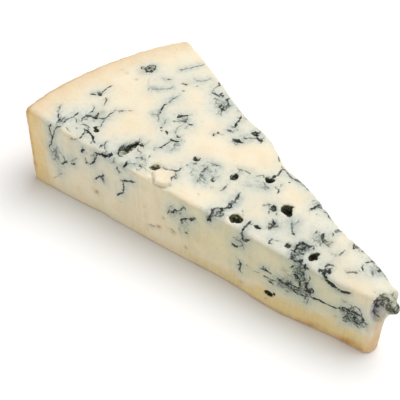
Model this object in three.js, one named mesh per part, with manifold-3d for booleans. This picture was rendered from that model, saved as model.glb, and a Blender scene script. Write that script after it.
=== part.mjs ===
// A wedge of blue cheese, cut from a flat wheel about 30 cm across.
// Millimetres, +Z up. `along` runs from the rind (0) to where the two cuts would meet
// (WHEEL_RADIUS), and `across` from the front cut (negative) to the back cut.
import * as THREE from 'three';
import { mergeVertices } from 'three/addons/utils/BufferGeometryUtils.js';
import Module from 'manifold-3d';

// ---- driving dimensions ----
const WHEEL_RADIUS = 150;        // rind to the middle of the wheel
const RIND_PROUD = 1.3;          // the rind swells this far outside the wheel's true circle
const RIND_BELLY = 0.4;          // and this much more at half height
const FRONT_HEEL = { along: 3.2, across: -35.7 };    // where the front cut meets the rind
const FRONT_TIP = { along: 134.9, across: -3.0 };
const BACK_TIP = { along: 135.6, across: 3.0 };
const BACK_HEEL = { along: 4.8, across: 34.3 };
const HEEL_CORNER = 1.5;         // plan rounding where the cuts meet the rind
const TIP_CORNER = 1.4;
const TIP_LEAN = { along: 1.7, across: 1.3, wide: 6 };    // the back of the tip overhangs its foot

const CUT_EDGE = 1.6;            // soft top edge along the cuts
const RIND_EDGE = 4.6;           // rounder shoulder of the wheel
const BASE_EDGE = 0.5;

const HEEL_HEIGHT = 32.5;
const TIP_HEIGHT = 24.5;
// How far the top has slumped along the front cut: fully so between `full` and `eases`, and
// from `start` of the half width (0 at the middle line, 1 at the front edge).
const SETTLE = { deep: 2.4, full: 25, eases: 122, tipShare: 0.4, start: -0.5 };

const CUT_STEPS = 54;            // points along each cut
const END_STEPS = 16;            // points along the rind, and along the blunt tip
const CORNER_STEPS = 4;
const CORNER_MIN = 0.3;          // the tightest that a corner gets as it is drawn in
const WALL_LEVELS = 8;
const EDGE_STEPS = 4;
const CORNER_FADE = 0.05;        // share of each side over which its waves fade in
const BALL = { round: 12, high: 8 };

// Soft waves of each cut in plan: how far out the cut stands at that distance from the rind.
const FRONT_WAVES = [
  { at: 34.5, wide: 2.5, out: -0.6 },
  { at: 64, wide: 15, out: 0.5 },
  { at: 102, wide: 14, out: 0.7 },
];
const BACK_WAVES = [
  { at: 50, wide: 16, out: -1.2 },
  { at: 64.5, wide: 6, out: 0.9 },
  { at: 80.5, wide: 6, out: -1.8 },
  { at: 107, wide: 6, out: -0.4 },
  { at: 125, wide: 9, out: 1.9 },
];
// The crumbly foot of the front cut, squashed outward near the tip.
const FOOT = { at: 106, wide: 13, out: 1.2, high: 9 };
// Low swells (positive) and hollows of the top.
const TOP_WAVES = [
  { along: 34, across: -4, wide: 16, up: 0.5 },
  { along: 97, across: 3, wide: 13, up: 0.5 },
  { along: 68, across: 0, wide: 12, up: -0.5 },
  { along: 58.5, across: -18.5, wide: 4.5, up: 0.6 },
  { along: 41.5, across: -19, wide: 4, up: -0.4 },
];
// Open mould holes of the top: lengths of the mouth, its turn in plan and its depth.
const TOP_HOLES = [
  { along: 86, across: -12, long: 4.6, wide: 3.6, turn: 20, deep: 2.6 },
  { along: 94.3, across: 1.2, long: 4.2, wide: 3.4, turn: -25, deep: 2.4 },
  { along: 81.7, across: 6, long: 3.4, wide: 2.2, turn: 60, deep: 1.6 },
  { along: 72.8, across: -1.1, long: 2.0, wide: 3.0, turn: 0, deep: 1.5 },
  { along: 111.7, across: -5.1, long: 1.8, wide: 3.3, turn: 10, deep: 1.5 },
  { along: 41, across: -18.6, long: 2.0, wide: 8.6, turn: 8, deep: 2.0 },
  { along: 27, across: -22, long: 2.5, wide: 2.0, turn: 0, deep: 1.4 },
];
// Holes of the front cut, at a height above the base.
const FRONT_HOLES = [
  { along: 102.3, height: 5.6, long: 3.6, tall: 2.1, deep: 1.8 },
];
// Where the thin end has broken open: a shallow hollow, and a knob of mould beside it.
const TIP_HOLLOW = { across: -1.0, height: 19.4, wide: 5.0, tall: 12.6, deep: 2.0 };
const TIP_KNOB = { across: 2.7, height: 18.2, wide: 4.0, proud: 1.2 };
const LUMPS = 0.1;               // how uneven the holes and the knob are

const PASTE_COLOUR = 0xf3e3bd;

// ---- helpers ----
const bell = (distance, wide) => Math.exp(-((distance / wide) ** 2));
const clamp = THREE.MathUtils.clamp;
const mix = THREE.MathUtils.lerp;
const smooth = THREE.MathUtils.smoothstep;

function waves(list, along) {
  return list.reduce((sum, wave) => sum + wave.out * bell(along - wave.at, wave.wide), 0);
}

// Where the middle of the wedge lies at a given distance from the rind, and half its width.
function middleLine(along) {
  const heel = (FRONT_HEEL.across + BACK_HEEL.across) / 2;
  const tip = (FRONT_TIP.across + BACK_TIP.across) / 2;
  return mix(heel, tip, clamp(along / FRONT_TIP.along, 0, 1));
}

function halfWidth(along) {
  const heel = (BACK_HEEL.across - FRONT_HEEL.across) / 2;
  const tip = (BACK_TIP.across - FRONT_TIP.across) / 2;
  return mix(heel, tip, clamp(along / FRONT_TIP.along, 0, 1));
}

// How far the rind stands outside the straight line between its two corners.
function rindBow(across) {
  const half = (BACK_HEEL.across - FRONT_HEEL.across) / 2;
  const off = clamp(across - (BACK_HEEL.across + FRONT_HEEL.across) / 2, -half, half);
  const arc = Math.sqrt(WHEEL_RADIUS ** 2 - off ** 2) - Math.sqrt(WHEEL_RADIUS ** 2 - half ** 2);
  return arc + RIND_PROUD * (1 - (off / half) ** 4);
}

function rindLine(across) {
  const t = (across - FRONT_HEEL.across) / (BACK_HEEL.across - FRONT_HEEL.across);
  return mix(FRONT_HEEL.along, BACK_HEEL.along, t) - rindBow(across);
}

// Height of the top: it falls from the rind to the tip, and rolls over at the rind's shoulder.
function topHeight(along, across) {
  let height = mix(HEEL_HEIGHT, TIP_HEIGHT, along / FRONT_TIP.along);
  const towardFront = (middleLine(along) - across) / halfWidth(along);
  const tipEase = mix(1, SETTLE.tipShare, smooth(along, SETTLE.eases, FRONT_TIP.along));
  const settle = SETTLE.deep * smooth(along, 0, SETTLE.full) * tipEase;
  height -= settle * smooth(towardFront, SETTLE.start, 1);
  for (const wave of TOP_WAVES) {
    height += wave.up * bell(Math.hypot(along - wave.along, across - wave.across), wave.wide);
  }
  const fromRind = clamp(along - rindLine(across), 0, RIND_EDGE);
  return height - RIND_EDGE + Math.sqrt(RIND_EDGE ** 2 - (RIND_EDGE - fromRind) ** 2);
}

// ---- outline ----
// The four sides of the wedge in plan, counter-clockwise, with the corner each one starts at.
const SIDES = [
  { name: 'front', start: FRONT_HEEL, corner: HEEL_CORNER, edge: CUT_EDGE, steps: CUT_STEPS },
  { name: 'tip', start: FRONT_TIP, corner: TIP_CORNER, edge: CUT_EDGE, steps: END_STEPS },
  { name: 'back', start: BACK_TIP, corner: TIP_CORNER, edge: CUT_EDGE, steps: CUT_STEPS },
  { name: 'rind', start: BACK_HEEL, corner: HEEL_CORNER, edge: RIND_EDGE, steps: END_STEPS },
];
SIDES.forEach((side, i) => {
  const end = SIDES[(i + 1) % SIDES.length].start;
  side.run = new THREE.Vector2(end.along - side.start.along, end.across - side.start.across);
  side.run.normalize();
  side.outward = new THREE.Vector2(side.run.y, -side.run.x);
});

// The middle of a corner's rounding, when the sides before and after it are drawn in.
function cornerMiddle(before, after, insetBefore, insetAfter) {
  const cross = before.run.cross(after.run);
  const start = new THREE.Vector2(after.start.along, after.start.across);
  return start.addScaledVector(before.run, -insetAfter / cross)
    .addScaledVector(after.run, insetBefore / cross);
}

// How far a side bows out of its straight line at a point.
function bow(side, along, across, height) {
  if (side.name === 'rind') return rindBow(across);
  if (side.name === 'tip') return 0;
  if (side.name === 'back') return waves(BACK_WAVES, along);
  const foot = FOOT.out * bell(along - FOOT.at, FOOT.wide) * bell(height, FOOT.high);
  return waves(FRONT_WAVES, along) + foot;
}

// The tip's back corner leans out more the higher it is.
function leaned([along, across, height]) {
  const near = bell(Math.hypot(along - BACK_TIP.along, across - BACK_TIP.across), TIP_LEAN.wide);
  const lean = near * smooth(height, 0, TIP_HEIGHT);
  return [along + TIP_LEAN.along * lean, across + TIP_LEAN.across * lean, height];
}

// One ring round the wedge: `inset` draws each side in, `heightAt` gives the ring's height
// and `belly` swells the rind alone.
function outlineRing(inset, heightAt, belly = 0) {
  const corners = SIDES.map((side, i) => {
    const before = SIDES[(i + SIDES.length - 1) % SIDES.length];
    const drawnIn = Math.max(inset(before), inset(side));
    const radius = Math.max(side.corner - drawnIn, CORNER_MIN);
    const middle = cornerMiddle(before, side, inset(before) + radius, inset(side) + radius);
    return { middle, radius, before, side };
  });
  const ring = [];
  const add = (point, outward) => {
    ring.push(leaned([point.x, point.y, heightAt(point.x, point.y, outward)]));
  };
  corners.forEach(({ middle, radius, before, side }, i) => {
    for (let step = 0; step < CORNER_STEPS; step += 1) {
      const outward = before.outward.clone().lerp(side.outward, step / CORNER_STEPS).normalize();
      add(middle.clone().addScaledVector(outward, radius), outward);
    }
    const next = corners[(i + 1) % corners.length];
    const from = middle.clone().addScaledVector(side.outward, radius);
    const to = next.middle.clone().addScaledVector(side.outward, next.radius);
    for (let step = 0; step < side.steps; step += 1) {
      const t = step / side.steps;
      const ends = smooth(Math.min(t, 1 - t), 0, CORNER_FADE);
      const point = from.clone().lerp(to, t);
      const height = heightAt(point.x, point.y, side.outward);
      const swell = side.name === 'rind' ? belly : 0;
      const out = (bow(side, point.x, point.y, height) + swell) * ends;
      add(point.addScaledVector(side.outward, out), side.outward);
    }
  });
  return ring;
}

// ---- the solid ----
// The rings of the base, the walls and the rounded top edge, from the bottom up.
function wallRings() {
  // The rind's side has no cut edge of its own: its shoulder already rolls over.
  const cutDrop = (outward) => CUT_EDGE * smooth(outward.x, -1, -0.9);
  const rings = [outlineRing(() => BASE_EDGE, () => 0)];
  for (let level = 0; level <= WALL_LEVELS; level += 1) {
    const part = level / WALL_LEVELS;
    const heightAt = (along, across, outward) => {
      return mix(BASE_EDGE, topHeight(along, across) - cutDrop(outward), part);
    };
    rings.push(outlineRing(() => 0, heightAt, RIND_BELLY * Math.sin(Math.PI * part)));
  }
  for (let step = 1; step <= EDGE_STEPS; step += 1) {
    const angle = ((Math.PI / 2) * step) / EDGE_STEPS;
    const inset = (side) => side.edge * (1 - Math.cos(angle));
    const heightAt = (along, across, outward) => {
      return topHeight(along, across) - cutDrop(outward) * (1 - Math.sin(angle));
    };
    rings.push(outlineRing(inset, heightAt));
  }
  return rings;
}

// Fills the last ring with a grid that follows all four of its sides. Returns the grid's
// new points, and a lookup from a grid place to its vertex number.
function topGrid(rim, rimStart, firstNew) {
  const across = END_STEPS + CORNER_STEPS;
  const along = CUT_STEPS + CORNER_STEPS;
  const half = CORNER_STEPS / 2;
  const rimAt = (step) => (half + step + rim.length) % rim.length;
  const front = (i) => rimAt(i);
  const back = (i) => rimAt(2 * along + across - i);
  const tip = (j) => rimAt(along + j);
  const rind = (j) => rimAt(-j);
  const points = [];
  const lookup = (i, j) => {
    if (j === 0) return rimStart + front(i);
    if (j === across) return rimStart + back(i);
    if (i === 0) return rimStart + rind(j);
    if (i === along) return rimStart + tip(j);
    return firstNew + (i - 1) * (across - 1) + (j - 1);
  };
  for (let i = 1; i < along; i += 1) {
    for (let j = 1; j < across; j += 1) {
      const u = i / along;
      const v = j / across;
      const place = [0, 1].map((axis) => {
        const at = (step) => rim[step][axis];
        const sides = mix(at(front(i)), at(back(i)), v) + mix(at(rind(j)), at(tip(j)), u);
        return sides - mix(mix(at(front(0)), at(tip(0)), u), mix(at(back(0)), at(back(along)), u), v);
      });
      points.push([...place, topHeight(...place)]);
    }
  }
  return { points, lookup, along, across };
}

function wedgeGeometry() {
  const rings = wallRings();
  const rim = rings[rings.length - 1];
  const count = rim.length;
  const index = [];
  for (let ring = 0; ring + 1 < rings.length; ring += 1) {
    for (let i = 0; i < count; i += 1) {
      const low = ring * count + i;
      const lowNext = ring * count + ((i + 1) % count);
      index.push(low, lowNext, low + count);
      index.push(lowNext, lowNext + count, low + count);
    }
  }
  const base = rings[0].map(([x, y]) => new THREE.Vector2(x, y));
  for (const [a, b, c] of THREE.ShapeUtils.triangulateShape(base, [])) {
    index.push(a, c, b);
  }
  const top = topGrid(rim, (rings.length - 1) * count, rings.length * count);
  for (let i = 0; i < top.along; i += 1) {
    for (let j = 0; j < top.across; j += 1) {
      index.push(top.lookup(i, j), top.lookup(i + 1, j), top.lookup(i + 1, j + 1));
      index.push(top.lookup(i, j), top.lookup(i + 1, j + 1), top.lookup(i, j + 1));
    }
  }
  const places = [...rings.flat(2), ...top.points.flat()];
  const geometry = new THREE.BufferGeometry();
  geometry.setAttribute('position', new THREE.Float32BufferAttribute(places, 3));
  geometry.setIndex(index);
  return geometry;
}

// A rounded, slightly lumpy ball with the given half sizes, for holes and the knob.
function ball(halfX, halfY, halfZ, lumps) {
  const geometry = new THREE.SphereGeometry(1, BALL.round, BALL.high);
  const place = geometry.getAttribute('position');
  for (let i = 0; i < place.count; i += 1) {
    const x = place.getX(i);
    const y = place.getY(i);
    const z = place.getZ(i);
    const swell = 1 + lumps * Math.sin(4 * x + 2 * z) * Math.cos(3 * y);
    place.setXYZ(i, x * halfX * swell, y * halfY * swell, z * halfZ * swell);
  }
  return geometry;
}

function topHole(hole) {
  const geometry = ball(hole.long / 2, hole.wide / 2, hole.deep, LUMPS);
  geometry.rotateZ(THREE.MathUtils.degToRad(hole.turn));
  return geometry.translate(hole.along, hole.across, topHeight(hole.along, hole.across));
}

function frontHole(hole) {
  const front = SIDES[0];
  const geometry = ball(hole.long / 2, hole.deep, hole.tall / 2, LUMPS);
  geometry.rotateZ(front.run.angle());
  const straight = FRONT_HEEL.across + (hole.along - FRONT_HEEL.along) * (front.run.y / front.run.x);
  const across = straight - bow(front, hole.along, straight, hole.height);
  return geometry.translate(hole.along, across, hole.height);
}

// Where the blunt end face lies at that distance across.
function tipFace(across) {
  const t = (across - FRONT_TIP.across) / (BACK_TIP.across - FRONT_TIP.across);
  return mix(FRONT_TIP.along, BACK_TIP.along, t);
}

function tipHollow() {
  const { across, height, wide, tall, deep } = TIP_HOLLOW;
  return ball(deep, wide / 2, tall / 2, LUMPS).translate(tipFace(across) + 0.3, across, height);
}

function tipKnob() {
  const { across, height, wide, proud } = TIP_KNOB;
  const geometry = ball(wide / 2, wide / 2, wide / 2, LUMPS);
  return geometry.translate(tipFace(across) + proud, across, height);
}

// ---- joining and cutting ----
const wasm = await Module();
wasm.setup();

function toSolid(source) {
  source.deleteAttribute('normal');
  source.deleteAttribute('uv');
  const geometry = mergeVertices(source, 1e-4);
  const mesh = new wasm.Mesh({
    numProp: 3,
    vertProperties: new Float32Array(geometry.getAttribute('position').array),
    triVerts: new Uint32Array(geometry.getIndex().array),
  });
  return new wasm.Manifold(mesh);
}

function toGeometry(solid) {
  const mesh = solid.getMesh();
  const geometry = new THREE.BufferGeometry();
  geometry.setAttribute('position', new THREE.BufferAttribute(mesh.vertProperties, 3));
  geometry.setIndex(new THREE.BufferAttribute(mesh.triVerts, 1));
  return geometry;
}

function cheeseWedge() {
  let solid = toSolid(wedgeGeometry());
  for (const hole of TOP_HOLES) solid = solid.subtract(toSolid(topHole(hole)));
  for (const hole of FRONT_HOLES) solid = solid.subtract(toSolid(frontHole(hole)));
  solid = solid.subtract(toSolid(tipHollow()));
  solid = solid.add(toSolid(tipKnob()));
  const geometry = toGeometry(solid);
  geometry.computeBoundingBox();
  const middle = geometry.boundingBox.getCenter(new THREE.Vector3());
  geometry.translate(-middle.x, -middle.y, 0);
  geometry.computeVertexNormals();
  return geometry;
}

const paste = new THREE.MeshStandardMaterial({ color: PASTE_COLOUR, roughness: 0.55, metalness: 0 });
paste.name = 'blue_cheese_paste';
const cheese = new THREE.Mesh(cheeseWedge(), paste);
cheese.name = 'cheese_wedge';

const wedge = new THREE.Group();
wedge.add(cheese);

export default wedge;
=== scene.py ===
"""A wedge of blue cheese lying on a pale studio floor.

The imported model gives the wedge's shape and place. This file lays a finer skin over it, sinks its
small holes and cracks, marbles it with mould and builds the soft light and the camera round it.
"""

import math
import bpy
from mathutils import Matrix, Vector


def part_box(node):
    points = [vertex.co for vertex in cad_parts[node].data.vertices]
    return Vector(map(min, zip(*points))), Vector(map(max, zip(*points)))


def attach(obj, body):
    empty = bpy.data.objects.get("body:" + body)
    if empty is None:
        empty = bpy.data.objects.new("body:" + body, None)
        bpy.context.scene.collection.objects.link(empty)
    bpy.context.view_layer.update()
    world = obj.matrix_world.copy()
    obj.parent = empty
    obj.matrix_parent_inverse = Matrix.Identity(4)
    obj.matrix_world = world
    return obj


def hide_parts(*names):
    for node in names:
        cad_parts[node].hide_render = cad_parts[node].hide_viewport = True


bl_info = {
    "name": "Blue Cheese Wedge",
    "version": (1, 0, 0),
    "blender": (4, 5, 0),
    "location": "View3D > Sidebar > Cheese",
    "description": "Builds a marbled wedge of blue cheese and the pale studio it lies in",
    "category": "Object",
}

import bpy
import numpy as np
from mathutils import Vector, kdtree, noise
from mathutils.bvhtree import BVHTree

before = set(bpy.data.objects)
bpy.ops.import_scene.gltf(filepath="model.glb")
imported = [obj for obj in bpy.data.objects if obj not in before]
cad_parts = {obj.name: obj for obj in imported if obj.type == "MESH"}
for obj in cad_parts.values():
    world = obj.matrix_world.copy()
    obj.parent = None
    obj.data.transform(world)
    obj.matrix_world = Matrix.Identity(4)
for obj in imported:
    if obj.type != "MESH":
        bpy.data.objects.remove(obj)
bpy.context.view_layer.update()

WEDGE_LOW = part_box("cheese_wedge")[0]
MM = 0.001

# The wedge is laid out in millimetres along it, from the wheel's rim to its middle, and across it.
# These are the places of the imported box's low sides on those two scales.
HEEL_SIDE = -1.88
FRONT_SIDE = -35.26

# The radius of the wheel that the wedge is a slice of, and how much lower the top gets and how much
# nearer each side comes with each millimetre along the wedge.
WHEEL_RADIUS = 150.0
TOP_SLOPE = 0.055
SIDE_SLOPE = 0.235

# A skin of fewer points than this means that there was no packed wedge to copy.
FEWEST_POINTS = 1000

# Rounds that smooth the new skin, that spread the haze close to the veins, and that spread the wide,
# cool one.
SMOOTH_ROUNDS = 3
HAZE_ROUNDS = 18
COOL_ROUNDS = 130

# Half widths of veins, in millimetres.
HAIR = 0.1
FINE = 0.16
MEDIUM = 0.25
HEAVY = 0.37

# How far apart the marks of a vein lie, over what length its ends thin out and how thin they get.
MARK_STEP = 0.12
TAPER_LENGTH = 0.9
THIN_END = 0.35

# How far off its face a mark starts, and how far past the face it may land. Marks of the top and the
# front cut may land deep, so that they reach across the edge between the two and into the holes.
PRESS_HEIGHT = 30.0
DEEP_PRESS = 30.0
SHALLOW_PRESS = 7.0

# How far past its own half width the groove of a vein runs, and how wide a crack is.
GROOVE_EDGE = 0.35
CRACK_WIDTH = 0.55

# How far, in millimetres, the grain of the rind, the waves of the rim, the crumbs of the tip and the
# streaks of its foot lift the skin, and how far the foot is worn away on its far side.
RIND_GRAIN = 0.09
RIM_WAVES = 0.22
TIP_CRUMBS = 0.22
FOOT_STREAKS = 0.3
FOOT_WEAR = 1.3

# How many vein marks compete for a point of the skin, and how much a wide vein wins over a thin one.
RIVAL_MARKS = 5
WIDTH_PULL = 1.4

# The hollow of the tip, on the plane of the tip's face: its middle and half its width and height. The
# knob of mould beside it is given as steps right and up from that middle.
HOLLOW_MIDDLE = (136.0, -1.0, 18.3)
HOLLOW_HALF_WIDTH = 2.9
HOLLOW_HALF_HEIGHT = 5.4
KNOB_RIGHT = 3.9
KNOB_UP = -0.1


def tint(red, green, blue):
    """A display colour of 0 to 255 as the linear colour that shaders take."""
    shares = [channel / 255.0 for channel in (red, green, blue)]
    return tuple(s / 12.92 if s <= 0.04045 else ((s + 0.055) / 1.055) ** 2.4 for s in shares)


def from_layout(along, across, height):
    """A point of the wedge's own layout as a point of the frame, still in millimetres."""
    x = along - HEEL_SIDE + WEDGE_LOW[0] / MM
    y = across - FRONT_SIDE + WEDGE_LOW[1] / MM
    return np.array((x, y, height + WEDGE_LOW[2] / MM))


def smooth_step(low, high, value):
    """0 below low, 1 above high and an even curve between them, for numbers and arrays."""
    share = np.clip((value - low) / (high - low), 0.0, 1.0)
    return share * share * (3.0 - 2.0 * share)


def unit(vector):
    """The vector at length 1."""
    vector = np.asarray(vector, float)
    return vector / np.linalg.norm(vector)


class Face:
    """A flat plane that marks are laid out on, and the way they are pressed from it onto the paste."""

    def __init__(self, start, right, up, outward=None):
        self.start = from_layout(*start)
        self.right = np.asarray(right, float)
        self.up = np.asarray(up, float)
        self.outward = None if outward is None else unit(outward)

    def point(self, u, v):
        """The point of the plane at u to the right and v up."""
        return self.start + self.right * u + self.up * v

    def way_out(self, point):
        """The direction away from the paste that marks at a point are pressed against."""
        return unit(PRESS_POINT - point) if self.outward is None else self.outward

    def normal(self):
        """The plane's own outward direction."""
        turned = unit(np.cross(self.right, self.up))
        return turned if turned @ self.way_out(self.start) > 0 else -turned


# The marks of the top and the front cut are pressed on along lines that meet in one point, in
# millimetres of the frame, so that a vein that crosses the edge between the two stays whole.
PRESS_POINT = np.array((164.1, -146.7, 210.6))
TOP = Face((0.0, 0.0, 32.45), (1.0, 0.0, -0.0589), (0.0, 1.0, 0.0))
FRONT = Face((5.3, -35.1, 0.0), (0.9698, 0.2441, 0.0), (0.0, 0.0, 1.0))
BACK = Face((4.8, 34.3, 0.0), (0.9725, -0.2327, 0.0), (0.0, 0.0, 1.0), (0.2327, 0.9725, 0.0))
RIM = Face((-2.0, 0.0, 0.0), (0.0, 1.0, 0.0), (0.0, 0.0, 1.0), (-1.0, 0.0, 0.0))
BASE = Face((0.0, 0.0, 0.0), (1.0, 0.0, 0.0), (0.0, 1.0, 0.0), (0.0, 0.0, -1.0))
TIP = Face((136.0, 0.0, 0.0), (0.0, 1.0, 0.0), (0.0, 0.0, 1.0), (1.0, 0.0, 0.0))


class Skin:
    """The wedge's fine mesh as arrays, in millimetres."""

    def __init__(self, mesh):
        self.mesh = mesh
        count = len(mesh.vertices)
        self.places = np.empty(count * 3)
        mesh.vertices.foreach_get("co", self.places)
        self.places = self.places.reshape(-1, 3) / MM
        edges = np.empty(len(mesh.edges) * 2, dtype=np.int64)
        mesh.edges.foreach_get("vertices", edges)
        self.edges = edges.reshape(-1, 2)
        self.ends = np.concatenate((self.edges[:, 0], self.edges[:, 1]))
        self.others = np.concatenate((self.edges[:, 1], self.edges[:, 0]))
        self.degree = np.maximum(np.bincount(self.ends, minlength=count), 1)
        self.read_normals()

    def read_normals(self):
        """Takes the mesh's own point normals."""
        normals = np.empty(len(self.mesh.vertices) * 3, dtype=np.float32)
        self.mesh.vertex_normals.foreach_get("vector", normals)
        self.normals = normals.reshape(-1, 3).astype(float)

    def write_places(self):
        """Puts the moved points back into the mesh and reads the new normals."""
        self.mesh.vertices.foreach_set("co", (self.places * MM).ravel())
        self.mesh.update()
        self.read_normals()

    def neighbours(self, values):
        """The mean of each point's neighbours, for one value a point."""
        return np.bincount(self.ends, values[self.others], len(values)) / self.degree

    def spread(self, values, rounds):
        """The values let out over the skin, further with more rounds."""
        for _ in range(rounds):
            values = 0.4 * values + 0.6 * self.neighbours(values)
        return values

    def relax(self, rounds):
        """Rounds off the steps of the fine mesh without shrinking the wedge."""
        for _ in range(rounds):
            # Each round smooths the points inward and then lets them out again by a little more.
            for share in (0.55, -0.57):
                means = [self.neighbours(self.places[:, axis]) for axis in range(3)]
                self.places += share * (np.stack(means, axis=1) - self.places)

    def tree(self):
        """A tree that finds the skin's nearest points."""
        tree = kdtree.KDTree(len(self.places))
        for index, place in enumerate(self.places):
            tree.insert(place, index)
        tree.balance()
        return tree

    def surface(self):
        """A tree that finds where a ray meets the skin."""
        polygons = [tuple(polygon.vertices) for polygon in self.mesh.polygons]
        return BVHTree.FromPolygons([Vector(place) for place in self.places], polygons)

    def write(self, name, values):
        """Keeps one number or one vector a point on the mesh, for the material."""
        kind = "FLOAT_VECTOR" if values.ndim == 2 else "FLOAT"
        field = "vector" if values.ndim == 2 else "value"
        layer = self.mesh.attributes.new(name, kind, "POINT")
        layer.data.foreach_set(field, values.astype(np.float32).ravel())


class Marbling:
    """Collects the points of every vein on the skin, with how wide and how dark it is there."""

    def __init__(self, surface, seed):
        self.surface = surface
        self.chance = np.random.default_rng(seed)
        self.places = []
        self.widths = []
        self.darks = []
        self.mould = []
        self.pits = []
        self.blooms = []
        self.mosses = []
        self.stains = []
        self.flakes = []
        self.cracks = []
        self.lines = 0

    def press(self, face, u, v):
        """Where the mark at u, v of a face lands on the skin, or None if it misses."""
        point = face.point(u, v)
        outward = face.way_out(point)
        start = Vector(point + outward * PRESS_HEIGHT)
        past_face = DEEP_PRESS if face.outward is None else SHALLOW_PRESS
        place = self.surface.ray_cast(start, Vector(-outward), PRESS_HEIGHT + past_face)[0]
        return None if place is None else np.array(place)

    def wander(self, points, bend):
        """A crooked line through the points, in steps of about a mark."""
        line = [np.array(point, float) for point in points]
        while True:
            longer = [line[0]]
            for start, end in zip(line, line[1:]):
                run = end - start
                if np.hypot(*run) > 1.5 * MARK_STEP:
                    side = np.array((-run[1], run[0]))
                    longer.append((start + end) / 2 + side * self.chance.normal(0.0, bend))
                longer.append(end)
            if len(longer) == len(line):
                return line
            line = longer

    def lay(self, face, line, width, dark, mould, broken, crack=0.0):
        """Presses a line of marks on, swelling and thinning it, with gaps where it is broken."""
        self.lines += 1
        last = len(line) - 1
        for index, (u, v) in enumerate(line):
            run = index * MARK_STEP
            swell = noise.noise(Vector((run * 0.9, self.lines * 7.3, 0.0)))
            if noise.noise(Vector((run * 0.7, self.lines * 3.1, 5.0))) < broken - 0.75:
                continue
            ends = min(index, last - index) * MARK_STEP
            taper = THIN_END + (1.0 - THIN_END) * min(1.0, ends / TAPER_LENGTH)
            place = self.press(face, u, v)
            if place is None:
                continue
            self.places.append(place)
            self.widths.append(width * taper * (1.0 + 0.75 * swell))
            self.darks.append(min(1.0, dark * (1.08 + 0.4 * swell)))
            self.mould.append(mould)
            self.cracks.append(crack)

    def vein(self, face, width, *points, bend=0.09, dark=1.0, twigs=0.3, broken=0.2, crack=0.0,
             mould=None):
        """A vein through the points, with that many short twigs off each millimetre of it."""
        line = self.wander(points, bend)
        haze = width / MEDIUM if mould is None else mould
        self.lay(face, line, width, dark, haze, broken, crack)
        for index in range(2, len(line) - 2):
            if self.chance.random() > twigs * MARK_STEP:
                continue
            ahead = line[index + 2] - line[index - 2]
            turn = self.chance.choice((-1.0, 1.0)) * self.chance.uniform(0.6, 1.4)
            heading = math.atan2(ahead[1], ahead[0]) + turn
            reach = self.chance.uniform(0.5, 2.0)
            end = line[index] + reach * np.array((math.cos(heading), math.sin(heading)))
            twig = self.wander((line[index], end), bend * 1.6)
            self.lay(face, twig, width * 0.6, dark * 0.8, haze * 0.6, broken)

    def tangle(self, face, centre, radius, count, width=FINE, dark=0.8, reach=2.2, moss=0.5,
               wide=None):
        """A mossy patch: short curling threads round a centre, with a soft fill of mould."""
        across = radius if wide is None else wide
        for _ in range(count):
            angle = self.chance.uniform(0.0, 2.0 * math.pi)
            out = math.sqrt(self.chance.random())
            aside = np.array((radius * math.cos(angle), across * math.sin(angle)))
            place = np.array(centre, float) + out * aside
            heading = self.chance.uniform(0.0, 2.0 * math.pi)
            curl = self.chance.normal(0.0, 0.9)
            line = [place]
            steps = int(self.chance.uniform(0.4, 1.0) * reach / MARK_STEP)
            for _ in range(steps):
                heading += (curl + self.chance.normal(0.0, 3.2)) * MARK_STEP
                place = place + MARK_STEP * np.array((math.cos(heading), math.sin(heading)))
                line.append(place)
            size = width * self.chance.uniform(0.6, 1.3)
            self.lay(face, line, size, dark * self.chance.uniform(0.75, 1.1), 0.8, 0.2)
        if moss:
            self.moss(face, centre, radius, moss, wide=wide)

    def moss(self, face, centre, radius, amount, wide=None):
        """A soft fill of mould."""
        place = self.press(face, *centre)
        if place is not None:
            self.mosses.append((face, place, radius, radius if wide is None else wide, amount))

    def bloom(self, face, centre, radius, amount):
        """A bluish white halo, or clean cream paste where the amount is below 0."""
        place = self.press(face, *centre)
        if place is not None:
            self.blooms.append((place, radius, amount))

    def blot(self, face, centre, radius, dark):
        """A small lump of mould."""
        for _ in range(4):
            u, v = np.array(centre, float) + self.chance.normal(0.0, 0.3 * radius, 2)
            place = self.press(face, u, v)
            if place is None:
                continue
            self.places.append(place)
            self.widths.append(radius * self.chance.uniform(0.55, 0.85))
            self.darks.append(dark)
            self.mould.append(1.0)
            self.cracks.append(0.0)

    def stain(self, face, centre, radius, amount):
        """An olive brown tinge."""
        place = self.press(face, *centre)
        if place is not None:
            self.stains.append((place, radius, amount))

    def flake(self, face, height, *corners):
        """A flat piece of paste with these corners that stands a little proud."""
        places = [self.press(face, *corner) for corner in corners]
        if all(place is not None for place in places):
            self.flakes.append((face, places, height))

    def pit(self, face, centre, length, width, depth, turn=0.0, dark=1.0, moved=True):
        """A hole in the paste, turned by an angle in degrees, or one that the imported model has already."""
        place = self.press(face, *centre) if moved or face is TOP else face.point(*centre)
        if place is not None:
            self.pits.append((face, place, length / 2, width / 2, depth, math.radians(turn), dark, moved))


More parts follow.
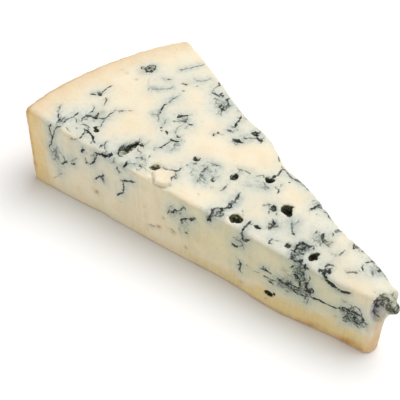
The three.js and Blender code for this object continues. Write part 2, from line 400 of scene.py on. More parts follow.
def mark_top_by_the_rim(m):
    """Veins, holes and stains of the top, from the rim to a third of the way along."""
    m.vein(TOP, FINE, (12.6, -5), (12.8, -7.5), (13.3, -9), (14, -10.5), dark=0.8)
    m.pit(TOP, (14.3, -11.4), 2.4, 1.5, 0.9, turn=-20)
    m.vein(TOP, MEDIUM, (13.8, -12.3), (12.8, -13.3), (11.9, -14), dark=0.85)
    m.vein(TOP, MEDIUM, (14, -11.4), (12.3, -11.6), dark=0.7)
    m.vein(TOP, FINE, (16.8, -10.7), (18, -11.3), (18.8, -12.2), (19.5, -13.3), (20.3, -14), dark=0.7)
    m.stain(TOP, (17.8, -11.6), 1.0, 0.35)
    m.vein(TOP, FINE, (28.2, -7.6), (27, -9.3), (26, -10.8), (25, -12), dark=0.6)
    m.blot(TOP, (26, -10.8), 0.35, 0.6)
    m.vein(TOP, FINE, (24.2, -12), (24.7, -13), (25, -14.5), (25.5, -16), (26.2, -17.5), dark=0.85)
    m.vein(TOP, FINE, (26.2, -17.5), (27, -19), (28, -20.5), (29, -21.5), dark=0.65)
    m.vein(TOP, MEDIUM, (26.2, -17.5), (25.3, -18.5), (24.8, -19.1), dark=0.9)
    m.stain(TOP, (22.8, -16.5), 1.2, 0.8)
    m.vein(TOP, MEDIUM, (22.2, -17.5), (23, -18.7), (23.5, -19.7), dark=0.9)
    m.pit(TOP, (23.8, -19.9), 1.7, 1.1, 0.8)
    m.vein(TOP, FINE, (18, -17), (19.3, -17.3), (20, -18.3), (20.4, -19.8), (21, -21), dark=0.8)
    m.vein(TOP, MEDIUM, (24.5, -20), (23, -20.4), (21.8, -20.6), (21.3, -21.3), (20.3, -21.7), dark=0.95)
    m.blot(TOP, (21.3, -21.2), 0.5, 0.85)
    m.vein(TOP, FINE, (21, -21.5), (21, -22.8), (21.8, -24), (22.5, -24.7), dark=0.9)
    m.vein(TOP, FINE, (24.2, -21.3), (24.9, -21.6), dark=0.6)
    m.pit(TOP, (28.5, -23.3), 2.8, 2.0, 1.4, moved=False)
    m.blot(TOP, (28, -22.9), 0.6, 1.0)
    m.vein(TOP, FINE, (27, -24.3), (25.5, -24.5), (24.3, -24.8), (23.8, -25.7), dark=0.75)
    m.vein(TOP, MEDIUM, (26, -26), (27.5, -25.8), (28.5, -26), (30.2, -25.9), (31.5, -26.3), (33, -27),
           (34.2, -27.3))
    m.blot(TOP, (27.5, -25.8), 0.55, 0.95)
    m.vein(TOP, MEDIUM, (27.9, -26.8), (28.3, -28), (28.9, -29), (29.4, -30), dark=0.85)
    m.blot(TOP, (24.5, -27.9), 0.4, 0.55)
    m.blot(TOP, (28, -32.2), 0.35, 0.55)
    m.blot(TOP, (28.9, -31.5), 0.3, 0.55)
    m.vein(TOP, MEDIUM, (18, -23), (18.4, -24.3), (18.9, -25.5), dark=0.9)
    m.vein(TOP, FINE, (18.9, -25.5), (18.7, -27), (19.3, -28.8), (19.9, -30.5), dark=0.7)
    m.vein(TOP, FINE, (19.7, -25.6), (21, -25.6), (22.2, -26.6), dark=0.85)
    m.vein(TOP, FINE, (11, -24.8), (12.3, -26.6), (13.3, -28.1), (14.4, -28.4), dark=0.6)
    m.vein(TOP, MEDIUM, (14.4, -28.4), (15.5, -29.2), (16.5, -29.8), (17.8, -30.7), twigs=0)
    m.vein(TOP, FINE, (17, -27.5), (17.8, -29), (18.5, -30.2), (18, -31.5), (18.8, -32.5), dark=0.75)
    m.moss(TOP, (19.3, -30.5), 1.2, 0.2, wide=2.4)
    m.vein(TOP, MEDIUM, (20.4, -31.8), (20.1, -32.5), (20.6, -33.8), dark=0.85)
    m.vein(TOP, MEDIUM, (35.8, -23.6), (36.4, -24.9), (36.9, -25.6), dark=0.9)
    m.vein(TOP, FINE, (36.9, -25.6), (38, -26.2), (39.2, -26.6), (40, -27.1), dark=0.75)
    m.vein(TOP, MEDIUM, (36.1, -26), (36.5, -26.9), (37, -27.6), dark=0.9)
    m.vein(TOP, FINE, (22, 28.7), (22.4, 27.5), (21.7, 26), (21.2, 24.8), (20.8, 23.2), dark=0.9)
    m.vein(TOP, FINE, (20.8, 23.2), (20.5, 22), (20.4, 20.8), (19.3, 19), dark=0.6, mould=1.2)
    m.vein(TOP, FINE, (20.8, 23.2), (21.8, 22.8), dark=0.6)
    m.vein(TOP, FINE, (30.2, 25.5), (30, 23), (29.6, 22), (28.8, 21), (28, 19.8), dark=0.55, mould=1.3)
    m.vein(TOP, MEDIUM, (33.4, 26.3), (34.2, 25.5), (35.1, 24.8), (35.1, 23.3), dark=0.75)
    m.vein(TOP, FINE, (35.2, 23), (35.5, 21.8), (36.4, 20.2), dark=0.5)
    m.blot(TOP, (30.5, 18.4), 0.4, 0.65)
    m.blot(TOP, (26.4, 15.2), 0.4, 0.65)
    m.blot(TOP, (27.6, 15.6), 0.45, 0.95)
    m.stain(TOP, (27.5, 16.4), 1.3, 0.35)
    m.blot(TOP, (29.7, 12.9), 0.5, 0.55)
    m.vein(TOP, MEDIUM, (21.2, 12.4), (21.8, 13), (22.3, 13.7), dark=0.75, mould=2.0)
    m.vein(TOP, FINE, (19.3, 11.3), (20.6, 11.6), dark=0.4, mould=1.5)
    m.vein(TOP, FINE, (25.7, 11.7), (26, 9.6), (25, 8.5), (24.3, 7), (23.3, 5.8), (22.8, 4.5), dark=0.6,
           mould=1.3)
    m.vein(TOP, MEDIUM, (21.5, 4.1), (22.3, 3.2), dark=0.65, twigs=0)
    m.vein(TOP, FINE, (31, 10), (31.3, 8), (31.2, 6.5), (31.8, 5), (32.5, 4.2), dark=0.6, mould=1.6)
    m.vein(TOP, MEDIUM, (32.4, 3.4), (32, 2.7), (33, 1.2), (33.8, 0), (35, -1.5))
    m.vein(TOP, FINE, (33, -0.8), (34, -1.5), (35.3, -2.7), (36.5, -3), (38, -4.5), dark=0.65, mould=2.2)
    m.blot(TOP, (33.8, -3.6), 0.35, 0.4)
    m.stain(TOP, (15, 3.7), 0.6, 0.8)
    m.stain(TOP, (7.5, 3), 0.8, 0.35)
    m.stain(TOP, (10, 3.2), 0.9, 0.3)
    m.vein(TOP, HAIR, (17, 8.3), (18.5, 6.3), (20.5, 4.6), dark=0.25, mould=0.0, twigs=0)


def mark_mould_button(m):
    """The rimmed button of dark mould near the rim."""
    m.vein(TOP, MEDIUM, (11.4, 13), (12, 13.8), (13, 13.6), (13.8, 12.9), (14.4, 11.6))
    m.vein(TOP, MEDIUM, (14.4, 11.6), (14.7, 10.5), (14.2, 9.7), (13.4, 9.1))
    m.blot(TOP, (12.8, 13.4), 0.45, 1.0)
    m.blot(TOP, (14.4, 10.6), 0.45, 1.0)
    m.blot(TOP, (13.6, 9.2), 0.5, 1.0)
    m.vein(TOP, MEDIUM, (11.5, 11.3), (12.5, 11.1), (13.4, 11), dark=0.9)
    m.vein(TOP, FINE, (12, 12.8), (12.6, 12), (13.2, 11.5), dark=0.9)
    m.vein(TOP, MEDIUM, (10, 10), (10.8, 9), (11.3, 8.8), dark=0.85)
    m.vein(TOP, FINE, (11, 10.5), (12, 9.3), dark=0.85)
    m.vein(TOP, FINE, (12.2, 13.4), (11.3, 12.6), (11.2, 11.4), (12.0, 10.0), (13.4, 9.0), dark=0.9,
           twigs=0)
    m.moss(TOP, (12.6, 11), 1.5, 0.36, wide=2.0)
    m.flake(TOP, 0.4, (11.3, 11.5), (11.8, 13.9), (13.4, 13.7), (14.9, 11.4), (14.1, 9.1), (12.8, 9.2))
    m.stain(TOP, (12.8, 7.6), 1.6, 0.4)


def mark_shavings(m):
    """The two thin shavings that lie along the top's near edge."""
    m.flake(TOP, 0.3, (20.6, -32.4), (21.6, -31.2), (27.4, -30.6), (29.6, -31.2), (28.2, -32.6), (24, -33))
    m.bloom(TOP, (24.5, -31.8), 2.4, -0.6)
    m.flake(TOP, 0.3, (49.6, -26.0), (52.6, -24.4), (58.0, -24.0), (57.6, -25.6), (53, -26.4))


def mark_top_in_the_middle(m):
    """Veins, holes and the loose flake of the middle third of the top."""
    m.vein(TOP, FINE, (38.3, -1.5), (39.2, -2.5), (40.3, -3.5), dark=0.6, mould=1.6)
    m.blot(TOP, (41, -5.6), 0.4, 0.9)
    m.pit(TOP, (42.1, -6.3), 1.2, 0.9, 0.6)
    m.vein(TOP, MEDIUM, (43, -5.4), (44, -5.6), (44.9, -6), dark=0.85)
    m.vein(TOP, HEAVY, (47.1, -3.9), (47.8, -4.1), (48.4, -3.5), twigs=0)
    m.vein(TOP, FINE, (44, 1), (44, -0.5), (45, -2.5), (46, -3.7), dark=0.5)
    m.moss(TOP, (50.3, -4.3), 1.2, 0.3)
    m.vein(TOP, MEDIUM, (47.5, -7), (48.3, -6.4), (49.5, -6), (50, -5), dark=0.9)
    m.blot(TOP, (47.8, -6.8), 0.45, 0.95)
    m.vein(TOP, FINE, (48, -7), (48.2, -9), (48.5, -11), (48.5, -12.3), dark=0.85)
    m.vein(TOP, FINE, (48, -12.5), (47.9, -14), dark=0.6)
    m.vein(TOP, FINE, (50, -7.3), (51, -8), (51.7, -9), (51.8, -10.3), dark=0.6, mould=2.0)
    m.blot(TOP, (50.4, -7.4), 0.45, 0.6)
    m.blot(TOP, (51.5, -6.5), 0.4, 0.35)
    m.vein(TOP, HAIR, (48.5, -10.5), (49.5, -12), dark=0.5)
    m.vein(TOP, FINE, (40.8, -14.3), (41.5, -15), (42.2, -15.8), dark=0.6)
    m.vein(TOP, HAIR, (44, -12.5), (44.2, -13.8), (44.7, -15), dark=0.5)
    m.vein(TOP, MEDIUM, (43.3, -15.3), (44.2, -15.8), (45.4, -16.3), dark=0.95)
    m.pit(TOP, (42.6, -20), 2.4, 9.4, 2.0, moved=False, dark=0.5)
    m.tangle(TOP, (41.8, -21), 0.8, 8, reach=1.2, wide=2.2)
    m.pit(TOP, (43.1, -17.6), 0.8, 5.0, 0.7, turn=-14, dark=0.5)
    m.pit(TOP, (42.1, -21.8), 1.2, 4.2, 0.9, turn=-8, dark=0.8)
    m.pit(TOP, (43.9, -16.0), 1.6, 0.9, 0.6, turn=-20)
    m.vein(TOP, HEAVY, (43.5, -16), (43, -17.5), (42.6, -19), (42.2, -20.5), (42, -22), twigs=0.4)
    m.blot(TOP, (42.2, -20.9), 0.7, 1.0)
    m.vein(TOP, MEDIUM, (42, -22.4), (42.2, -23.5), (43, -24.5), (44, -24.8), (45, -24.2))
    m.vein(TOP, MEDIUM, (43.3, -19.5), (43.6, -21), (44, -22.2), dark=0.9)
    m.vein(TOP, MEDIUM, (40.2, -19.8), (40.6, -21), (41.2, -22.5), (42, -23.5), dark=0.75)
    m.blot(TOP, (40.7, -21.3), 0.5, 0.7)
    m.blot(TOP, (42.3, -16.7), 0.4, 0.65)
    m.moss(TOP, (43, -22), 1.6, 0.5, wide=3.0)
    m.stain(TOP, (41.2, -18.2), 1.2, 0.45)
    m.vein(TOP, FINE, (44.6, -17.8), (45.5, -18.6), (46.8, -18.2), (47.6, -18.7), dark=0.9)
    m.vein(TOP, FINE, (47.3, -19.3), (48.5, -19.5), (49.5, -19.8), (50, -20.8), dark=0.6, mould=1.4)
    m.vein(TOP, FINE, (50, -19), (51, -19.9), dark=0.6)
    m.blot(TOP, (48.1, -21), 0.4, 0.65)
    m.blot(TOP, (50, -17.3), 0.4, 0.65)
    m.vein(TOP, MEDIUM, (51.3, -22), (51.7, -22.7), twigs=0)
    m.vein(TOP, MEDIUM, (51.8, -22), (52.4, -22.6), twigs=0)
    m.vein(TOP, HAIR, (52.5, -22), (54, -21.8), (54.8, -22.5), dark=0.45)
    m.vein(TOP, MEDIUM, (41, -25.7), (41.8, -26.1), (42.4, -27.2), (42.3, -28.2))
    m.vein(TOP, MEDIUM, (41.2, -27.3), (42.2, -28.1), twigs=0)
    m.vein(TOP, FINE, (44, -27), (45, -27.8), (45.8, -28), dark=0.7)
    m.vein(TOP, MEDIUM, (47.5, -24.3), (48.3, -25), (48.9, -26), (49.2, -27))
    m.pit(TOP, (59.7, -6.2), 2.2, 1.5, 1.2, turn=-25)
    m.vein(TOP, MEDIUM, (60.5, -4.8), (60.7, -5.8), (60.8, -6.9), twigs=0)
    m.blot(TOP, (61.3, -7.9), 0.45, 0.65)
    m.vein(TOP, FINE, (62.7, -4.5), (63.8, -4), (65, -3.3), (66.3, -3), (66.8, -1.9), dark=0.65, mould=1.5)
    m.vein(TOP, FINE, (64.5, -5), (65.2, -6), (65.5, -7.5), (66, -9), (66.9, -9.9), dark=0.8, mould=1.4)
    m.vein(TOP, FINE, (62.8, -10), (63.4, -10.5), dark=0.7)
    m.blot(TOP, (60.4, -10.4), 0.35, 0.55)
    m.tangle(TOP, (65.5, -7), 4.2, 24, width=HAIR, dark=0.75, moss=0.12)
    m.vein(TOP, FINE, (67.3, -11.5), (68, -12.3), (68.5, -12.9), dark=0.7, mould=1.5)
    m.vein(TOP, FINE, (67, -10.8), (68.5, -11.2), (69.5, -11), (70.3, -11.3), dark=0.55, mould=1.5)
    m.blot(TOP, (65, -11.8), 0.35, 0.45)
    m.pit(TOP, (70.6, -8.3), 1.9, 1.5, 0.9, dark=0.8)
    m.blot(TOP, (70, -7.8), 0.4, 0.9)
    m.vein(TOP, HAIR, (70.3, -4.9), (70.4, -6.6), dark=0.5)
    m.vein(TOP, FINE, (72.4, -10.7), (73.4, -11.6), dark=0.4)
    m.flake(TOP, 0.7, (56.5, -21.2), (57.1, -19.0), (60.5, -15.3), (63.1, -17.4), (64.2, -20.4),
            (63.6, -22.7), (61, -23.6))
    # The two dark hair lines along the flake's lower sides are painted shade of its raised edge, laid on
    # real shallow cracks.
    m.vein(TOP, HAIR, (56.2, -19.6), (56.3, -21.4), (58.6, -22.8), (61, -24.2), dark=0.2, crack=0.4,
           mould=0.0, twigs=0)
    m.vein(TOP, HAIR, (61, -24.2), (63.6, -23.3), (64.6, -20.6), dark=0.15, crack=0.4, mould=0.0, twigs=0)
    m.vein(TOP, MEDIUM, (60.2, -12.5), (60.6, -13.5), (60.3, -14.8), (59.3, -15.2), crack=0.2)
    m.vein(TOP, FINE, (59.3, -15.2), (58.8, -15.9), (58, -16.7), (56.3, -16.9), dark=0.85, crack=0.35,
           twigs=0)
    m.vein(TOP, FINE, (60.9, -15.3), (61.8, -15.9), (62.8, -16.5), (63.1, -17.3), dark=0.65, crack=0.2)
    m.vein(TOP, FINE, (61.8, -16), (62.3, -17.5), (62.7, -18.7), (63.3, -18.8), dark=0.7, crack=0.2)
    m.vein(TOP, FINE, (63.5, -20.3), (64.8, -20), dark=0.7, twigs=0)
    # These two olive stains by the flake's lower sides are painted shade under its raised edge.
    m.stain(TOP, (58.6, -23.2), 0.8, 0.6)
    m.stain(TOP, (56.2, -21.6), 0.7, 0.6)
    m.pit(TOP, (55.0, -18.9), 2.9, 3.9, 1.5, turn=-15, dark=0.75)
    m.blot(TOP, (55.9, -18.3), 0.55, 0.9)
    m.blot(TOP, (54.6, -19.6), 0.5, 0.6)
    m.stain(TOP, (55, -18.3), 1.3, 0.9)


def mark_top_back_edge(m):
    """Veins of the middle third that run to the top's far edge."""
    m.vein(TOP, MEDIUM, (36.5, 20.1), (37.5, 20.5), (39, 20.6), (40.2, 20.6), dark=0.7)
    m.vein(TOP, MEDIUM, (38.6, 23), (39, 22.2), (39.8, 21.5), dark=0.85)
    m.vein(TOP, HEAVY, (40.2, 22.4), (40.5, 21.6), (41, 21.2), twigs=0)
    m.vein(TOP, FINE, (39.9, 25), (40.6, 24.4), dark=0.6)
    m.vein(TOP, FINE, (41, 22), (42.3, 21.9), dark=0.6)
    m.vein(TOP, MEDIUM, (42.6, 23.3), (42.7, 22), (43.1, 21.4), (44.3, 21), (45.2, 20), (45.3, 18.5),
           dark=0.85)
    m.blot(TOP, (42.9, 21.8), 0.45, 1.0)
    m.vein(TOP, MEDIUM, (39.6, 19), (39.9, 18.2), dark=0.8)
    m.vein(TOP, FINE, (40.3, 19.8), (40.8, 18.5), (42, 17.4), (42.3, 16.8), dark=0.75)
    m.vein(TOP, MEDIUM, (43.3, 18.7), (43.9, 17.5), (44.6, 16.6), dark=0.85)
    m.vein(TOP, HEAVY, (44.7, 18.5), (45.2, 17.6), (46, 16.9), (46.8, 15.8), dark=0.85)
    m.vein(TOP, FINE, (46.8, 15.8), (47.5, 14.8), (48.5, 14), dark=0.6)
    m.vein(TOP, FINE, (46, 20.2), (46, 18.5), (46.9, 17), dark=0.8)
    m.vein(TOP, HAIR, (45.5, 15.5), (46.5, 14.3), dark=0.5)
    m.tangle(TOP, (44.6, 19), 2.3, 8, width=HAIR, dark=0.6, moss=0.45, wide=3.0)
    m.vein(TOP, MEDIUM, (49.4, 21.3), (49.7, 20.3), dark=0.8)
    m.vein(TOP, FINE, (49.5, 21.3), (51.3, 21), dark=0.6)
    m.vein(TOP, MEDIUM, (52, 20), (53, 19), (53.8, 17.5), (54.2, 16), dark=0.9)
    m.vein(TOP, HEAVY, (54.2, 16), (55, 14.7), (55.6, 14))
    m.vein(TOP, MEDIUM, (54.1, 20.9), (54.8, 20), dark=0.65)
    m.vein(TOP, FINE, (55.5, 21), (57, 20.8), dark=0.55)
    m.vein(TOP, FINE, (58, 20.3), (58.8, 19.9), dark=0.7)
    m.vein(TOP, FINE, (54.3, 13.4), (55.3, 13.6), dark=0.7)
    m.vein(TOP, FINE, (56.4, 14), (57.6, 13.5), dark=0.6, mould=1.5)
    m.vein(TOP, MEDIUM, (55.8, 12.3), (56.2, 11.5), (55.2, 11), dark=0.85)
    m.vein(TOP, MEDIUM, (56.8, 12.4), (57.2, 11.7), dark=0.65)
    m.moss(TOP, (56.4, 12.8), 1.1, 0.3)
    m.blot(TOP, (54.4, 7.7), 0.45, 0.85)
    m.vein(TOP, FINE, (55.8, 8.8), (55.8, 7.9), dark=0.55)
    m.vein(TOP, HEAVY, (53.7, 6.2), (54.6, 5.6), dark=0.95, twigs=0)
    m.vein(TOP, HEAVY, (41.3, 5.5), (40.4, 4.3), (40, 3.2), (40.2, 2))
    m.pit(TOP, (40.1, 3.1), 1.2, 1.4, 0.7)
    m.vein(TOP, FINE, (38.6, 3.2), (39.6, 3.2), dark=0.8)
    m.vein(TOP, MEDIUM, (42.3, 4.5), (42.9, 3.5), (43.7, 2.2), dark=0.85)
    m.vein(TOP, MEDIUM, (41.5, 3.2), (42.5, 3.3), dark=0.75)
    m.vein(TOP, FINE, (41.2, 1.7), (42.5, 2.2), (43.5, 2.4), dark=0.75)
    m.vein(TOP, FINE, (40.8, 1.5), (41.5, 0.8), (42.5, 1), dark=0.7)
    m.blot(TOP, (41, 0), 0.5, 0.6)
    m.moss(TOP, (42.2, 2.6), 1.5, 0.35)
    m.vein(TOP, HAIR, (41.7, 7.5), (41.5, 5.9), dark=0.4)
    m.vein(TOP, HEAVY, (45, 2.8), (46.1, 3.7), dark=0.85, twigs=0)
    m.vein(TOP, FINE, (45.2, 2), (46.3, 1), dark=0.45)
    m.pit(TOP, (62.3, 17.1), 2.4, 1.6, 1.2, turn=12)
    m.vein(TOP, HEAVY, (61.1, 16.4), (61.6, 17.8), (62.5, 18.2), (63.3, 17.4))
    m.vein(TOP, MEDIUM, (62.2, 19.5), (62.7, 18.8), (63, 18), dark=0.85)
    m.vein(TOP, MEDIUM, (63.3, 17), (64.3, 16.4), (65.4, 16.2), (66.3, 16.1), (66.9, 15.4), dark=0.95)
    m.blot(TOP, (65.7, 16.4), 0.6, 0.95)
    m.vein(TOP, MEDIUM, (65.4, 18.3), (65.5, 17), dark=0.8)
    m.vein(TOP, MEDIUM, (63.8, 15.8), (62.9, 15), (62.1, 13.8), (61.4, 12.5), dark=0.75, mould=1.6)
    m.pit(TOP, (61.2, 10.2), 2.8, 1.1, 0.8, turn=15)
    m.vein(TOP, HEAVY, (60.9, 11.3), (61.5, 10.4), (60.4, 9.6), (59.4, 9.8))
    m.vein(TOP, HEAVY, (61.5, 10.4), (62.5, 10.8), (62.8, 11.4), dark=0.9)
    m.vein(TOP, MEDIUM, (61.2, 8.8), (62.6, 8.8), dark=0.75)
    m.vein(TOP, FINE, (59.5, 9), (60.4, 8.6), dark=0.6)


def mark_top_by_the_tip(m):
    """Veins and holes of the top's narrow third, its near half."""
    m.vein(TOP, MEDIUM, (79.9, -5), (80.4, -6.2), (81.2, -7.7), (82, -9.2), (82.3, -10), dark=0.85,
           mould=1.5)
    m.vein(TOP, MEDIUM, (82.3, -10), (81.5, -11), (82, -12), (83, -12.3), (82.8, -11.3), (82.3, -10.3),
           dark=0.95)
    m.blot(TOP, (82.8, -12.1), 0.5, 0.95)
    m.vein(TOP, MEDIUM, (82.3, -12.5), (82.3, -13.7), dark=0.95)
    m.vein(TOP, MEDIUM, (81, -14.8), (82, -14), (82.7, -15), (82.5, -16), dark=0.95, twigs=0.5)
    m.vein(TOP, MEDIUM, (81, -15), (80.5, -16), (81.3, -17), dark=0.85, twigs=0.4)
    m.vein(TOP, MEDIUM, (83.7, -15), (84.3, -15.8), (83.8, -17), (83.1, -16.3), dark=0.85)
    m.vein(TOP, MEDIUM, (80, -16.7), (81.3, -17.8), (82, -18.7), (82.5, -19.7), dark=0.95)
    m.vein(TOP, HEAVY, (82.5, -19.6), (83.5, -20), (84.3, -20.7), dark=0.9)
    m.vein(TOP, FINE, (82, -17), (82.7, -18.5), dark=0.85)
    m.tangle(TOP, (82.3, -16.6), 1.7, 6, reach=1.3, moss=0.33, wide=3.2)
    m.pit(TOP, (88, -13.8), 4.8, 3.7, 2.6, moved=False, dark=0.68)
    m.blot(TOP, (88.6, -14.6), 0.9, 1.0)
    m.blot(TOP, (86.6, -10), 0.35, 0.45)
    m.vein(TOP, FINE, (87.3, -10.7), (88.1, -11.1), dark=0.5)
    m.vein(TOP, HEAVY, (91.2, -10.8), (91.5, -12), (91.9, -13.5), (92.1, -14.3), dark=0.85, twigs=0.1)
    m.vein(TOP, MEDIUM, (92.1, -14.4), (92.6, -15.3), (93.4, -16.5), (94.5, -17.3), (95, -18), dark=0.85)
    m.pit(TOP, (94.3, -10.9), 2.4, 0.8, 0.5, turn=18)
    m.vein(TOP, HEAVY, (93.2, -11.2), (94.3, -11), (95.4, -10.4), twigs=0)
    m.pit(TOP, (95.2, 0.4), 4.4, 3.6, 2.4, moved=False, dark=0.75)
    m.pit(TOP, (95.0, 0.2), 4.4, 2.8, 1.0, turn=53, dark=0.85)
    m.blot(TOP, (94.3, -0.5), 0.6, 0.9)
    m.blot(TOP, (96, 0), 0.9, 1.0)
    m.vein(TOP, HEAVY, (90.3, -0.8), (91.3, -0.8), (91.8, -1.5), (92.5, -2.3), (93.8, -2.7))
    m.vein(TOP, MEDIUM, (90.3, -1), (91, -2.3), (92.3, -2.6), dark=0.9)
    m.pit(TOP, (91.5, -1.7), 2.6, 1.3, 0.7, turn=-35, dark=0.6)
    m.blot(TOP, (88.6, -3.3), 0.4, 0.55)
    m.blot(TOP, (89.3, -1.9), 0.45, 0.65)
    m.vein(TOP, FINE, (90.3, -2.5), (91.3, -3.3), (92.2, -4.6), dark=0.65)
    m.vein(TOP, FINE, (98.5, -1), (99.5, -2), (100.5, -2.8), (101.8, -3.8), (102.7, -4.2), dark=0.7,
           mould=1.8)
    m.blot(TOP, (102.7, -4.2), 0.45, 1.0)
    m.vein(TOP, FINE, (99, 1.5), (100, 0), (100.5, -1.5), dark=0.35, mould=1.8)
    m.vein(TOP, MEDIUM, (94.6, -5.2), (96, -6), (97, -7.5), (97.2, -8.7), dark=0.9)
    m.vein(TOP, FINE, (96.4, -5.2), (96.6, -6.5), (95, -7.2), dark=0.85)
    m.vein(TOP, FINE, (97.3, -5.5), (97.7, -7), dark=0.7)
    m.vein(TOP, MEDIUM, (96, -8), (97, -9), dark=0.9)
    m.moss(TOP, (96.5, -6.8), 1.5, 0.4, wide=2.0)
    m.pit(TOP, (105.2, -8.6), 2.4, 1.9, 0.7, dark=0.62)
    m.blot(TOP, (105.0, -9.2), 0.5, 0.9)
    m.vein(TOP, MEDIUM, (100.1, -10.5), (100.5, -11.8), (101, -12.5), (102, -12.2), dark=0.8)
    m.vein(TOP, FINE, (101.2, -10.5), (102.3, -9.6), dark=0.6)
    m.vein(TOP, HEAVY, (109.8, -3), (108.9, -4.2), (107.3, -4.7), (106.3, -5.3), dark=0.9)
    m.vein(TOP, MEDIUM, (106.3, -5.3), (106.8, -6.8), (107.6, -8), (108, -9.8), dark=0.95)
    m.vein(TOP, HEAVY, (108, -9.8), (108.6, -10.6), (110, -11.6), (111.3, -11.4), dark=0.85)
    m.vein(TOP, MEDIUM, (108, -5.5), (109, -5.8), (109, -6.8), (107.8, -7), dark=0.85)
    m.vein(TOP, MEDIUM, (109.4, -5), (110.4, -5), dark=0.75)
    m.vein(TOP, FINE, (110, -3), (111.2, -4.2), dark=0.7)
    m.vein(TOP, MEDIUM, (110, -8), (110.6, -7.6), dark=0.9)
    m.vein(TOP, HEAVY, (111.5, -9), (112, -10), (111.5, -11.3), dark=0.95)
    m.vein(TOP, MEDIUM, (111.8, -10), (112.9, -11), dark=0.85)
    m.vein(TOP, FINE, (110, -8.5), (109, -9.3), dark=0.65)
    m.tangle(TOP, (108.6, -7.2), 2.0, 12, dark=0.9, reach=1.4, moss=0.55, wide=3.2)
    m.pit(TOP, (113.4, -6.5), 1.8, 3.7, 1.5, moved=False)
    m.pit(TOP, (113.3, -6.4), 1.7, 3.6, 0.5, turn=-20)
    m.blot(TOP, (113.7, -5.7), 0.55, 1.0)
    m.vein(TOP, MEDIUM, (113.4, -4.1), (113.7, -5.2), twigs=0)


